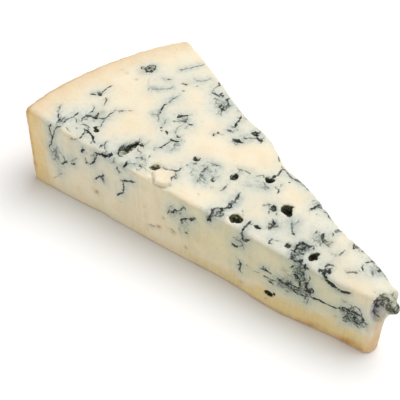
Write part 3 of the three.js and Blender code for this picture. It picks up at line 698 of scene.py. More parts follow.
def mark_top_tip_far_half(m):
    """Veins and holes of the top's narrow third, its far half."""
    m.vein(TOP, MEDIUM, (74.8, 16), (76, 15), (77, 14.3), dark=0.7)
    m.vein(TOP, FINE, (79, 13.6), (80, 13), (80.3, 11.8), (80.8, 10.5), (81.2, 9.2), crack=0.4, twigs=0)
    m.vein(TOP, HEAVY, (81.2, 9.4), (81.1, 8.2), (81.3, 6.8), crack=0.5, twigs=0)
    m.pit(TOP, (82, 5.6), 3.6, 2.2, 1.7, moved=False)
    m.pit(TOP, (81.6, 5.2), 3.4, 2.0, 1.2)
    m.blot(TOP, (82.2, 5.2), 0.8, 1.0)
    m.vein(TOP, FINE, (80, 13), (82, 12.8), (84, 12.2), (86, 12.3), (87.5, 12.8), dark=0.7)
    m.blot(TOP, (84.2, 12.1), 0.4, 0.7)
    m.vein(TOP, FINE, (79.6, 5.1), (78.5, 5.8), (77.9, 4.6), (77.3, 3.8), dark=0.75)
    m.vein(TOP, MEDIUM, (84.8, 5.3), (85.7, 4.9), (86.4, 5.3), (86.9, 4.7), (87.2, 3.6), dark=0.9)
    m.vein(TOP, FINE, (85, 8), (85.3, 7), (86, 6.5), dark=0.5)
    m.vein(TOP, FINE, (80.2, 4), (81.5, 3.6), (82.7, 2.8), (83.3, 2), (84.3, 2), dark=0.5, mould=1.5)
    m.blot(TOP, (83.9, 3), 0.35, 0.5)
    m.vein(TOP, FINE, (71.3, 1.5), (72.5, 1.9), (73.5, 2.6), (75.4, 3), dark=0.65, mould=1.5)
    m.blot(TOP, (75.2, 3), 0.35, 0.6)
    m.pit(TOP, (73.5, -1.6), 2.2, 3.0, 1.5, moved=False)
    m.vein(TOP, HEAVY, (72.7, -0.4), (73.6, -1.2), (74.5, -2), (75.2, -2.7), twigs=0.2)
    m.vein(TOP, MEDIUM, (72.6, -1.8), (73, -3), (74, -3.8), dark=0.8)
    m.vein(TOP, MEDIUM, (74.9, -5.7), (75.2, -6.8), (75.7, -8), (75.7, -9.6), dark=0.65)
    m.tangle(TOP, (79, 1), 3.2, 6, width=HAIR, dark=0.35, moss=0.1)
    m.vein(TOP, HEAVY, (96.8, 11.9), (98, 11.7), (98.8, 11), dark=0.9)
    m.vein(TOP, MEDIUM, (98.7, 11), (98.8, 9.5), (98.6, 8), (98.3, 7), dark=0.95, twigs=0.4)
    m.vein(TOP, FINE, (98.3, 7.5), (98.8, 6.2), dark=0.75)
    m.vein(TOP, MEDIUM, (98.8, 10), (100.3, 9.6), dark=0.8)
    m.vein(TOP, MEDIUM, (99.3, 10.8), (100.4, 10.9), dark=0.8)
    m.vein(TOP, FINE, (96.6, 11), (96.3, 9.5), dark=0.65)
    m.moss(TOP, (98.4, 10), 1.7, 0.35)
    m.vein(TOP, FINE, (95, 12.9), (96, 12.4), dark=0.5)
    m.vein(TOP, MEDIUM, (107.6, 8.8), (109.3, 8.7), dark=0.9)
    m.vein(TOP, FINE, (109.4, 8.6), (109.6, 7.5), (109.6, 6), dark=0.75)
    m.vein(TOP, MEDIUM, (110.5, 8), (111.9, 8.4), dark=0.8)
    m.vein(TOP, FINE, (111, 8), (110.3, 7), (109.8, 6), dark=0.6)
    m.vein(TOP, MEDIUM, (109.4, 5.4), (110.2, 5), (110.6, 4.4), dark=0.85)
    m.vein(TOP, HEAVY, (108.2, 3.3), (108.6, 2.3), (109.5, 1), (110.3, 0.2), dark=0.9)
    m.vein(TOP, MEDIUM, (106.2, 2.3), (106.5, 0.8), dark=0.7)
    m.vein(TOP, FINE, (107, 1.5), (108.4, 1.5), dark=0.7)
    m.vein(TOP, MEDIUM, (110.3, 0.4), (111.5, 0.5), (113, 0.3), dark=0.55)
    m.stain(TOP, (111.6, 1.6), 1.7, 0.55)
    m.blot(TOP, (112.2, 2.3), 0.35, 0.45)
    m.vein(TOP, FINE, (107.5, -0.8), (108.5, -1.3), (109.2, -0.5), dark=0.55)
    m.vein(TOP, FINE, (110.5, -0.5), (111.3, -1.5), dark=0.55)
    m.moss(TOP, (108.4, 0.2), 2.2, 0.35)
    m.moss(TOP, (81.2, 0.6), 2.4, 0.17)
    m.moss(TOP, (98.2, -3.2), 2.2, 0.2)
    m.moss(TOP, (103.4, 8.6), 2.0, 0.14, wide=1.2)
    m.moss(TOP, (76.6, 9.4), 2.6, 0.12, wide=1.2)
    m.moss(TOP, (127.0, 5.2), 2.6, 0.14, wide=1.4)
    m.vein(TOP, MEDIUM, (116.7, 3.2), (116.8, 2), (117.2, 0.3), dark=0.8)
    m.vein(TOP, HAIR, (117.2, 0.2), (116, -0.3), (114.7, -1.2), dark=0.5)
    m.vein(TOP, MEDIUM, (116.4, 7.2), (117.3, 6.3), (118, 5.5), dark=0.8)
    m.vein(TOP, FINE, (117.5, 6.8), (119.3, 7.4), dark=0.6)
    m.vein(TOP, FINE, (124.7, -0.4), (123.7, -1.5), (123, -2.7), dark=0.65)
    m.blot(TOP, (124.6, -0.5), 0.4, 0.7)
    m.blot(TOP, (123.1, -2.6), 0.35, 0.5)
    m.vein(TOP, FINE, (123.8, 3.5), (124.1, 2.5), (124.9, 1.8), (125.7, 1.4), dark=0.85)
    m.vein(TOP, FINE, (125.5, 4.2), (126.1, 4.5), dark=0.75)
    m.vein(TOP, FINE, (126.3, 3.4), (127.3, 3.3), (128.5, 2.4), dark=0.6, mould=1.6)
    m.moss(TOP, (128, 3.6), 1.7, 0.3)
    m.vein(TOP, HAIR, (128, 6), (131, 6), (135, 4.5), dark=0.4)
    m.vein(TOP, FINE, (136.8, 1.9), (136.5, 0.9), dark=0.7)
    m.vein(TOP, FINE, (87.5, 12.8), (90.4, 13.0), (92.6, 12.4), dark=0.6, mould=1.4, twigs=0)
    m.vein(TOP, FINE, (96.6, 11.8), (98.4, 11.3), (99.9, 10.8), dark=0.7, mould=1.4, twigs=0)
    m.vein(TOP, FINE, (102.4, 9.9), (104.6, 9.0), (106.6, 8.9), (108.4, 8.7), dark=0.75, mould=1.4, twigs=0)
    m.vein(TOP, FINE, (108.4, 8.7), (110.6, 8.6), (112.6, 8.2), dark=0.75, mould=1.2, twigs=0)
    m.vein(TOP, FINE, (117.8, 7.0), (119.8, 7.6), (121.6, 7.4), dark=0.7, mould=1.4, twigs=0)
    m.vein(TOP, FINE, (125.4, 5.7), (128.0, 5.2), (130.4, 5.1), (132.8, 4.3), dark=0.5, mould=1.2, twigs=0)


def mark_front_by_the_rim(m):
    """Veins of the front cut, from the rim to a third of the way along."""
    m.vein(FRONT, MEDIUM, (10.8, 29.8), (10, 28.5), (9.7, 27.3), (9.9, 25.8), (10.3, 25), dark=0.85)
    m.vein(FRONT, FINE, (15.3, 30.8), (13.8, 30.2), (12.7, 28.8), (12, 27.5), (11.5, 26.3), (11.2, 25.3),
           dark=0.85)
    m.vein(FRONT, MEDIUM, (11.2, 25.3), (10.7, 24.3), (10, 22.5), (9.8, 21.2), (9, 20.2), (8.2, 19),
           dark=0.95)
    m.blot(FRONT, (11.6, 26.2), 0.35, 0.75)
    m.vein(FRONT, FINE, (8, 18.6), (8.9, 17.8), dark=0.6)
    m.vein(FRONT, FINE, (12.5, 21), (11.7, 19.5), (11, 18.2), (9.8, 17.5), (9, 15.5), dark=0.6, mould=1.6)
    m.vein(FRONT, FINE, (12, 18), (11, 17), (10.5, 15.6), dark=0.6, mould=1.4)
    m.vein(FRONT, FINE, (12.3, 16.8), (11.3, 15.7), (10.2, 14.5), (9.7, 13.5), dark=0.75)
    m.tangle(FRONT, (11.2, 17.3), 1.7, 5, width=HAIR, dark=0.5, moss=0.3, wide=2.6)
    m.blot(FRONT, (13.5, 18.7), 0.35, 0.4)
    m.blot(FRONT, (14.7, 17.5), 0.35, 0.5)
    m.vein(FRONT, MEDIUM, (13, 13.8), (14.3, 14.7), (15.4, 15.6), (16.3, 16.6), dark=0.9)
    m.vein(FRONT, MEDIUM, (17.8, 16.4), (18.3, 16), (19.3, 16.5), (20.2, 17.3), dark=0.9, twigs=0)
    m.vein(FRONT, FINE, (17.8, 16.8), (18.8, 18), (20, 18.8), (21.3, 20.3), dark=0.5, mould=1.3)
    m.vein(FRONT, FINE, (13.2, 9.6), (12.2, 8.8), (11, 8), dark=0.5, mould=1.4)
    m.moss(FRONT, (11.5, 13), 2.6, 0.24, wide=5.6)
    m.moss(FRONT, (10.5, 24), 1.9, 0.26, wide=5.0)
    m.vein(FRONT, HAIR, (11, 7.5), (9.5, 6), (8, 4.6), dark=0.35, mould=0.0, crack=0.2, twigs=0)
    m.vein(FRONT, FINE, (17.7, 31.6), (18.8, 30.7), dark=0.6)
    m.vein(FRONT, FINE, (19.2, 27.5), (20.1, 28.1), dark=0.6, twigs=0)
    m.vein(FRONT, FINE, (21, 27.9), (21.8, 28.5), dark=0.5, twigs=0)
    m.vein(FRONT, HEAVY, (23.3, 23.6), (24.2, 25), (25.2, 25.8), dark=0.95)
    m.vein(FRONT, MEDIUM, (24.2, 26.4), (24.8, 25.6), dark=0.75)
    m.vein(FRONT, FINE, (25.2, 22.3), (25.1, 21), dark=0.7, mould=1.3)
    m.vein(FRONT, MEDIUM, (25, 19.8), (25.9, 20.8), dark=0.75)
    m.vein(FRONT, MEDIUM, (27, 20.3), (28.3, 21.7), (29.2, 23.3), (30.3, 24.6), dark=0.9, twigs=0.05)
    m.vein(FRONT, FINE, (27.5, 24), (28.5, 25), (29.3, 25.3), dark=0.8)
    m.vein(FRONT, HEAVY, (29.5, 26.6), (30.7, 26.7), (30.1, 25.3))
    m.vein(FRONT, HEAVY, (30.7, 26.6), (32.5, 27), (34, 27.3), (35.3, 27.8), (35.6, 28.8))
    m.vein(FRONT, HEAVY, (36, 28), (36.8, 28.8), (37.3, 30.2), dark=0.95)
    m.vein(FRONT, MEDIUM, (28.7, 14.6), (29.7, 15.8), (30.6, 16.8), (31.8, 17.4), (33, 18.7), dark=0.95)
    m.vein(FRONT, HEAVY, (31.5, 16), (32.5, 16.5), (32.8, 16), dark=0.75)
    m.stain(FRONT, (28.8, 9), 0.9, 0.9)
    m.blot(FRONT, (28.9, 9.1), 0.35, 0.4)
    m.stain(FRONT, (26.8, 9.7), 0.6, 0.3)


def mark_front_in_the_middle(m):
    """Veins and cracks of the front cut's middle."""
    m.vein(FRONT, FINE, (38, 28), (38.6, 28.8), dark=0.7)
    m.vein(FRONT, FINE, (37.8, 26.7), (38, 27.4), dark=0.6)
    m.vein(FRONT, MEDIUM, (41.7, 26), (42.4, 27.3), (43.2, 28.6), (43.8, 30), dark=0.95, twigs=0.05)
    m.vein(FRONT, FINE, (44, 29), (45.5, 29.8), (48, 31), dark=0.4, mould=1.4)
    m.vein(FRONT, MEDIUM, (39.3, 25.3), (38.8, 24.2), (39.5, 23.5), (39.7, 22.3), dark=0.85)
    m.vein(FRONT, MEDIUM, (40, 20.1), (41.3, 20.4), (42.5, 21), (44, 21.5), (45, 22), (46.5, 22.5),
           dark=0.9)
    m.vein(FRONT, FINE, (45.2, 21.3), (46, 22.2), dark=0.75)
    m.blot(FRONT, (42.3, 21), 0.4, 0.85)
    m.vein(FRONT, MEDIUM, (41.7, 20), (41.4, 18), (41, 16), (40.7, 14.8), (39.6, 14), (38.7, 13),
           (37.9, 12), dark=0.9)
    m.stain(FRONT, (39.4, 10.2), 0.5, 0.5)
    m.stain(FRONT, (50, 13.8), 0.5, 0.4)
    m.stain(FRONT, (57.8, 12.9), 0.7, 0.9)
    m.vein(FRONT, HAIR, (51, 6), (52.5, 6.4), (54.5, 7), (55.6, 7.8), (56.4, 8), dark=0.3, crack=0.4,
           mould=0.0, twigs=0)
    m.stain(FRONT, (52.5, 6.5), 0.9, 0.6)
    m.stain(FRONT, (55.4, 7.7), 1.0, 0.8)
    m.vein(FRONT, HAIR, (59.5, 8.9), (61.5, 9), (62.4, 8.3), dark=0.35, crack=0.35, mould=0.0, twigs=0)
    m.stain(FRONT, (61.4, 8.7), 1.1, 0.85)
    m.vein(FRONT, MEDIUM, (60.3, 19.3), (61.2, 19.9), dark=0.8, twigs=0)
    m.vein(FRONT, MEDIUM, (59.3, 15.5), (59.9, 17), (60.2, 18), dark=0.85)
    m.vein(FRONT, MEDIUM, (60.5, 16.5), (61.3, 17.3), (62, 18.5), (62.8, 18.9), (63.5, 19), dark=0.85)
    m.blot(FRONT, (62.7, 18.9), 0.45, 1.0)
    m.vein(FRONT, FINE, (63.5, 19), (64.8, 20), (65.8, 21.3), (66.4, 21.9), dark=0.7)
    m.blot(FRONT, (66.3, 21.7), 0.45, 0.75)
    m.vein(FRONT, FINE, (66.3, 21.5), (67, 20.8), dark=0.55)
    m.vein(FRONT, FINE, (63.7, 18.6), (65.6, 18.6), dark=0.65)
    m.vein(FRONT, MEDIUM, (64.6, 15), (65.3, 16.5), (66.5, 17.4), (68, 17.9), dark=0.85)
    m.vein(FRONT, HEAVY, (68, 17.9), (69.2, 18.6), (70.7, 19.4), dark=0.75)
    m.vein(FRONT, MEDIUM, (64.8, 15), (65.7, 14.5), dark=0.95)
    m.vein(FRONT, FINE, (66.3, 16.5), (68, 15.5), dark=0.4, mould=1.5)
    m.vein(FRONT, FINE, (64, 13.8), (65, 13.6), dark=0.5)
    m.vein(FRONT, FINE, (63.8, 12.3), (63.8, 11.2), (64.8, 10.4), dark=0.6)
    m.blot(FRONT, (67.1, 11.5), 0.5, 0.85)
    m.stain(FRONT, (66.6, 4.8), 0.7, 0.8)
    m.moss(FRONT, (62, 17.0), 2.6, 0.3, wide=3.2)
    m.moss(FRONT, (66.5, 13.5), 2.6, 0.26, wide=4.6)


def mark_front_by_the_tip(m):
    """Veins, cracks and mossy patches of the front cut's low end."""
    m.vein(FRONT, HEAVY, (76.7, 25.3), (76, 23.5), (75.9, 22.7), (75, 21.2), dark=0.95)
    m.moss(FRONT, (75.8, 22.3), 1.2, 0.4)
    m.vein(FRONT, MEDIUM, (88.3, 24.8), (88, 23.5), (87.2, 22.7), dark=0.8)
    m.vein(FRONT, MEDIUM, (87.5, 23), (88.4, 22.3), (88.3, 21.3), (87.4, 20.3), dark=0.85)
    m.vein(FRONT, HEAVY, (90.8, 22.3), (89.8, 21.6), (89, 20.3), dark=0.85)
    m.vein(FRONT, FINE, (84.6, 19.5), (85.3, 20.1), (86.3, 19.5), (87.3, 19.4), (88.3, 19.5), dark=0.75)
    m.vein(FRONT, FINE, (88.3, 19.5), (88.6, 18.8), (88, 18), (87, 17.3), dark=0.75)
    m.vein(FRONT, MEDIUM, (84.2, 17.5), (84.7, 17), (85.5, 16.3), (86.3, 16.7), (87.2, 17.4), dark=0.9)
    m.moss(FRONT, (87, 19.5), 2.2, 0.3, wide=3.0)
    m.vein(FRONT, FINE, (86, 12.2), (87, 11.6), (87.4, 11), dark=0.75)
    m.vein(FRONT, MEDIUM, (87.3, 10.5), (88, 10.2), (87.8, 9.3), (87.5, 7.5), (87.2, 6.3), dark=0.9)
    m.blot(FRONT, (87.8, 10.2), 0.45, 0.95)
    m.blot(FRONT, (90.3, 10.9), 0.35, 0.4)
    m.stain(FRONT, (88.6, 2.3), 0.7, 0.6)
    m.blot(FRONT, (97.6, 0.6), 0.3, 0.5)
    m.vein(FRONT, MEDIUM, (95, 12.6), (96.5, 12.8), (98, 12.9), (99, 12.7), dark=0.85)
    m.vein(FRONT, FINE, (92.8, 9.8), (94, 10), (95, 10.4), dark=0.5)
    m.pit(FRONT, (97.3, 10), 2.2, 0.9, 0.7)
    m.vein(FRONT, MEDIUM, (98.3, 9.4), (99, 8.8), (100, 8), dark=0.9)
    m.pit(FRONT, (99.5, 5.2), 3.6, 2.2, 1.7, moved=False)
    m.blot(FRONT, (100.6, 4.4), 0.5, 1.0)
    m.vein(FRONT, FINE, (98.5, 10.3), (101, 10.4), (102, 10.6), dark=0.7)
    m.vein(FRONT, HEAVY, (101.3, 11.9), (102.3, 11.5), (103, 11.3), (104.5, 11.5), (105.8, 12), dark=0.9)
    m.vein(FRONT, HEAVY, (105.8, 12), (107, 12.3), (108.3, 12.2), dark=0.9)
    m.vein(FRONT, FINE, (102.5, 11), (104, 11), (105.5, 11.3), dark=0.85)
    m.vein(FRONT, MEDIUM, (106.5, 10.5), (107.5, 10), (108.7, 9.7), (109.7, 10), (110.8, 10.5), dark=0.9)
    m.vein(FRONT, MEDIUM, (107, 11.3), (108.5, 11.3), (109, 11.8), dark=0.85)
    m.vein(FRONT, FINE, (104.2, 8.3), (105.2, 8.5), (105.8, 9), dark=0.6)
    m.vein(FRONT, FINE, (102.3, 9), (104, 9.5), dark=0.4)
    m.vein(FRONT, HEAVY, (106.8, 17), (107.5, 17.2), (108, 16.5), (108.9, 15.8), (109, 14.5), dark=0.95)
    m.vein(FRONT, HEAVY, (109, 14.5), (109.2, 13), (108.5, 12.3), dark=0.95)
    m.vein(FRONT, MEDIUM, (109, 15.8), (109.8, 16), dark=0.85)
    m.vein(FRONT, HEAVY, (111.8, 16.7), (111, 15.8), (111, 14.5), (111.2, 13.7))
    m.vein(FRONT, HEAVY, (111.2, 13.7), (112.5, 13.4), (112.8, 12.3), (112.7, 11.7))
    m.vein(FRONT, FINE, (112.3, 13.8), (113, 15), (113.7, 14.7), (113.6, 13.5), (113, 12.8), dark=0.9)
    m.vein(FRONT, FINE, (111.8, 20), (112, 18.5), (111.6, 16.9), dark=0.75)
    m.vein(FRONT, MEDIUM, (110.1, 23.5), (110, 22), (110.3, 21), dark=0.85)
    m.vein(FRONT, MEDIUM, (110, 22.3), (111.5, 22.2), dark=0.75)
    m.vein(FRONT, MEDIUM, (109.9, 20), (109.8, 19), (110.3, 18), dark=0.85)
    m.vein(FRONT, MEDIUM, (105.3, 19), (106, 20), (106.5, 20.7), dark=0.85)
    m.vein(FRONT, HEAVY, (105.3, 22.7), (107, 22.6), dark=0.9)
    m.vein(FRONT, MEDIUM, (107, 23), (108.5, 24), (109, 25), dark=0.8)
    m.tangle(FRONT, (108.3, 18.5), 1.9, 10, dark=0.85, reach=1.8, moss=0.75, wide=4.0)
    m.tangle(FRONT, (110.6, 15.6), 1.3, 7, width=MEDIUM, dark=0.95, reach=1.6, wide=2.6)
    m.tangle(FRONT, (110.5, 12.5), 2.2, 12, dark=0.9, reach=1.8, moss=0.6, wide=2.2)
    m.vein(FRONT, MEDIUM, (111.5, 10.8), (111.2, 9.5), (110.9, 8.8), dark=0.75)
    m.vein(FRONT, FINE, (112.3, 10.8), (112.3, 9), (111.8, 7.2), dark=0.6)
    m.vein(FRONT, MEDIUM, (113, 11.3), (114.5, 11.5), (116, 11.9), (118.7, 11.5), bend=0.05)
    m.vein(FRONT, MEDIUM, (118.7, 11.5), (119.5, 11.8), (121, 12), (122, 12.1), (123.3, 13.4), dark=0.9,
           bend=0.05)
    m.moss(FRONT, (104.3, 11.2), 4.6, 0.45, wide=2.6)
    m.moss(FRONT, (105.5, 15.5), 3.2, 0.36, wide=3.6)
    m.tangle(FRONT, (103.5, 10.6), 2.4, 8, width=HAIR, moss=0, wide=1.2)
    m.moss(FRONT, (108.5, 21), 2.6, 0.3, wide=3.4)
    m.stain(FRONT, (103.3, 17), 0.8, 0.5)
    m.stain(FRONT, (105, 14.3), 1.4, 0.3)
    m.stain(FRONT, (121.8, 8.7), 0.6, 0.7)


def mark_front_patch_and_crescent(m):
    """The dense mossy patch and the open crescent crack near the tip."""
    m.vein(FRONT, HEAVY, (123.3, 13.4), (124, 13.9), (126, 13.7), (128, 14), (129.8, 13.8), dark=0.9)
    m.vein(FRONT, HEAVY, (129.8, 13.8), (130.3, 12.5), (130.2, 11.3), dark=0.85)
    m.vein(FRONT, FINE, (125.5, 14.7), (126.8, 15.8), (127.7, 16.6), (128.8, 16.2), (129.6, 15),
           (129.7, 14), dark=0.75)
    m.vein(FRONT, MEDIUM, (124, 13), (123.8, 12), dark=0.85)
    m.vein(FRONT, MEDIUM, (125, 13), (125.5, 11.5), (124.5, 10.3), (124, 9.3), dark=0.8)
    m.vein(FRONT, HEAVY, (127.3, 12.8), (128, 12.3), (127.2, 11.5), dark=0.95)
    m.vein(FRONT, MEDIUM, (127.5, 10.5), (129, 10), (130.3, 10.3), (130.8, 9.8), dark=0.8)
    m.vein(FRONT, MEDIUM, (125.5, 10), (125.3, 8.7), (124, 8.2), dark=0.8)
    m.vein(FRONT, FINE, (127.5, 9.5), (129, 9), (129.8, 8.3), dark=0.7)
    m.tangle(FRONT, (127, 11.6), 3.3, 18, dark=0.95, reach=1.8, moss=0.6, wide=2.4)
    m.tangle(FRONT, (123.6, 12.8), 1.2, 5, dark=0.95, reach=1.4, moss=0.55, wide=1.2)
    m.vein(FRONT, FINE, (123, 16.9), (123.5, 16), (124.8, 16.5), dark=0.4)
    m.stain(FRONT, (123.8, 16.4), 0.9, 0.4)
    m.vein(FRONT, MEDIUM, (114.7, 23), (115, 24), (115.9, 24.7), dark=0.85)
    m.blot(FRONT, (114.7, 24), 0.5, 0.95)
    m.vein(FRONT, HEAVY, (116.2, 26.3), (117, 27.3), (117.5, 28), dark=0.9)
    m.blot(FRONT, (118, 25.2), 0.65, 1.0)
    m.vein(FRONT, HEAVY, (116.3, 25.8), (117, 25), (118, 24.5), dark=0.9)
    m.vein(FRONT, HEAVY, (116.4, 25.6), (116.3, 24.2), (116.5, 22.8), (117.4, 21.3), mould=1.8)
    m.moss(FRONT, (116.7, 22.8), 1.1, 0.35)
    m.vein(FRONT, HEAVY, (117.3, 21.3), (118, 20.6), (119.3, 20.3), (120.4, 19.8), (121.5, 19.5),
           crack=0.7, twigs=0, bend=0.03)
    m.vein(FRONT, HEAVY, (118, 20.9), (119.2, 20.5), (120.4, 20.1), crack=0.6, twigs=0, bend=0.03)
    m.vein(FRONT, MEDIUM, (121.5, 19.5), (122.5, 19.6), (123.8, 20), (125.2, 20.7), crack=0.4, twigs=0,
           bend=0.04)


def mark_tip(m):
    """The mould round the hollow of the tip and on the knob beside it."""
    m.vein(FRONT, HEAVY, (134.2, 23.8), (133.3, 23.4), (133.1, 22), (133.6, 20.6), dark=0.95)
    m.vein(FRONT, MEDIUM, (133.1, 22), (132.9, 20), (133.1, 18.4), (133.3, 17), dark=0.9, twigs=0.5)
    m.tangle(TIP, (-0.6, 23.5), 1.6, 7, dark=0.95, reach=0.8, moss=0, wide=0.4)
    m.tangle(TIP, (1.2, 20.2), 0.6, 8, dark=0.9, reach=1.0, moss=0.4, wide=2.2)
    m.tangle(TIP, (3.0, 18.6), 1.7, 10, dark=0.9, reach=1.2)
    m.blot(TIP, (2.2, 17.2), 0.4, 0.9)
    m.blot(TIP, (3.2, 19.4), 0.4, 0.9)
    m.vein(TIP, FINE, (4.2, 12.5), (4.3, 10.5), (4.0, 8.0))
    m.vein(TIP, FINE, (3.6, 14.0), (3.9, 12.0), dark=0.8)
    m.vein(TOP, FINE, (136.2, 2.6), (136.6, 1.8), (136.8, 0.9), dark=0.55)


def mark_edges(m):
    """Bites out of the wedge's edges."""
    m.pit(TOP, (84.4, 15.0), 9.0, 4.4, 1.9, dark=0.0)
    m.pit(TOP, (2.5, 35.0), 9.0, 4.0, 1.6, dark=0.0)
    m.pit(TOP, (30.5, 28.6), 4.0, 2.4, 0.8, dark=0.2)
    m.pit(TOP, (40.2, 26.3), 2.4, 1.8, 0.8, dark=0.35)
    m.pit(TOP, (47.6, 24.4), 2.6, 2.0, 0.9, dark=0.45)
    m.pit(TOP, (63.6, 20.6), 3.6, 2.0, 0.8, dark=0.5)
    m.pit(TOP, (100.5, 12.0), 3.0, 1.6, 0.7, dark=0.45)
    m.pit(TOP, (120.5, 7.0), 2.4, 1.4, 0.6, dark=0.45)
    m.pit(FRONT, (32.6, 0.6), 2.6, 3.0, 1.3, dark=0.0)
    m.pit(FRONT, (30.6, 0.2), 3.6, 1.4, 0.6, dark=0.0)
    m.pit(FRONT, (70.6, 28.2), 3.0, 1.4, 0.5, dark=0.0)
    m.pit(FRONT, (49.5, 30.4), 2.2, 1.2, 0.5, dark=0.25)
    m.pit(FRONT, (20.0, 31.6), 3.0, 1.2, 0.4, dark=0.0)


def mark_back(m):
    """The back cut, marbled like the front one."""
    chance = m.chance
    for _ in range(17):
        along = chance.uniform(9, 128)
        height_here = 31.0 - along * TOP_SLOPE
        centre = (along, min(chance.uniform(7, 25), height_here - 2.0))
        m.tangle(BACK, centre, chance.uniform(0.9, 2.8), int(chance.uniform(6, 20)),
                 dark=chance.uniform(0.7, 1.0), moss=chance.uniform(0.25, 0.6))
    for _ in range(26):
        start = np.array((chance.uniform(8, 128), chance.uniform(5, 27)))
        heading = chance.uniform(-0.6, 3.7)
        points = [start]
        for _ in range(int(chance.integers(2, 5))):
            heading += chance.normal(0.0, 0.6)
            ahead = np.array((math.cos(heading), math.sin(heading)))
            points.append(points[-1] + chance.uniform(2.0, 4.5) * ahead)
        width = chance.choice((FINE, FINE, MEDIUM, MEDIUM, MEDIUM, HEAVY))
        m.vein(BACK, width, *points, bend=0.14, twigs=0.3)
    for _ in range(7):
        centre = (chance.uniform(12, 120), chance.uniform(6, 22))
        m.pit(BACK, centre, chance.uniform(1.2, 3.0), chance.uniform(0.9, 2.0), chance.uniform(0.6, 1.4),
              turn=chance.uniform(0, 180), dark=chance.uniform(0.6, 1.0))


def mark_rind(m):
    """Small pits and mould flecks of the rind, on the rim and under the base."""
    chance = m.chance
    for _ in range(20):
        centre = (chance.uniform(-31, 31), chance.uniform(3, 28))
        m.pit(RIM, centre, chance.uniform(0.7, 2.2), chance.uniform(0.6, 1.5), chance.uniform(0.3, 0.7),
              turn=chance.uniform(0, 180), dark=chance.uniform(0.2, 0.6))
    for _ in range(6):
        centre = (chance.uniform(-30, 30), chance.uniform(4, 28))
        m.tangle(RIM, centre, chance.uniform(0.8, 2.6), int(chance.uniform(2, 6)), width=HAIR, dark=0.3,
                 moss=chance.uniform(0.05, 0.18), wide=chance.uniform(0.6, 1.6))
    for _ in range(34):
        along = chance.uniform(6, 126)
        across = chance.uniform(-0.8, 0.8) * (34.0 - along * SIDE_SLOPE)
        m.pit(BASE, (along, across), chance.uniform(0.7, 2.6), chance.uniform(0.6, 1.6),
              chance.uniform(0.25, 0.7), turn=chance.uniform(0, 180), dark=chance.uniform(0.15, 0.5))
    for _ in range(12):
        along = chance.uniform(8, 124)
        across = chance.uniform(-0.8, 0.8) * (33.0 - along * SIDE_SLOPE)
        m.tangle(BASE, (along, across), chance.uniform(0.8, 2.6), int(chance.uniform(3, 8)), dark=0.4,
                 moss=chance.uniform(0.1, 0.25))


def mark_blooms(m):
    """Where the paste is bluish white, and where it stays clean and creamy."""
    for along, across, radius, amount in (
        (106.5, 5.5, 5, 0.7),
        (84, 13, 5, 0.6),
        (127, 5, 5, 0.6),
        (99, -5, 5, 0.5),
        (101, -12, 5, 0.5),
        (68, -7, 7, 0.6),
        (80, 0, 5, 0.4),
        (22, -22, 8, 0.5),
        (24, 16, 8, 0.4),
        (45, 16, 7, 0.45),
        (48, -8, 6, 0.4),
        (84, -22, 3, 0.3),
        (31, -7, 8, -0.6),
        (65, 4, 10, -0.9),
        (59, 27, 5, -0.5),
        (71, 11, 6, -0.8),
        (88, 8, 5, -0.7),
        (74, -17, 6, -0.7),
        (90, -5.5, 4, -0.6),
        (96, -15, 3, -0.3),
        (114, 5, 4, -0.6),
        (122, -5, 5, -0.6),
        (14, 18, 5, -0.4),
        (10, -4, 4, -0.4),
    ):
        m.bloom(TOP, (along, across), radius, amount)
    m.bloom(FRONT, (130.6, 20.0), 3.4, -0.75)
    m.bloom(FRONT, (127.2, 24.0), 3.0, -0.5)


def marble(surface, seed):
    """Every mark of the wedge, pressed onto its skin."""
    m = Marbling(surface, seed)
    mark_top_by_the_rim(m)
    mark_mould_button(m)
    mark_shavings(m)
    mark_top_in_the_middle(m)
    mark_top_back_edge(m)
    mark_top_by_the_tip(m)
    mark_top_tip_far_half(m)
    mark_front_by_the_rim(m)
    mark_front_in_the_middle(m)
    mark_front_by_the_tip(m)
    mark_front_patch_and_crescent(m)
    mark_tip(m)
    mark_edges(m)
    mark_back(m)
    mark_rind(m)
    mark_blooms(m)
    return m


def rough(places, size, seed):
    """Smooth noise of about -1 to 1 with lumps of that size in millimetres; the seed picks which."""
    shift = Vector((seed * 13.7, seed * 5.1, seed * 9.9))
    return np.array([noise.noise(Vector(place) / size + shift) for place in places])


def layout_of(places):
    """How far along, across and up each place of the frame is, in the wedge's own layout."""
    along = places[:, 0] - WEDGE_LOW[0] / MM + HEEL_SIDE
    across = places[:, 1] - WEDGE_LOW[1] / MM + FRONT_SIDE
    return along, across, places[:, 2] - WEDGE_LOW[2] / MM


def on_face(places, face, place):
    """Each place as steps right, up and out from a place of the face."""
    gaps = places - place
    return gaps @ unit(face.right), gaps @ unit(face.up), gaps @ face.normal()


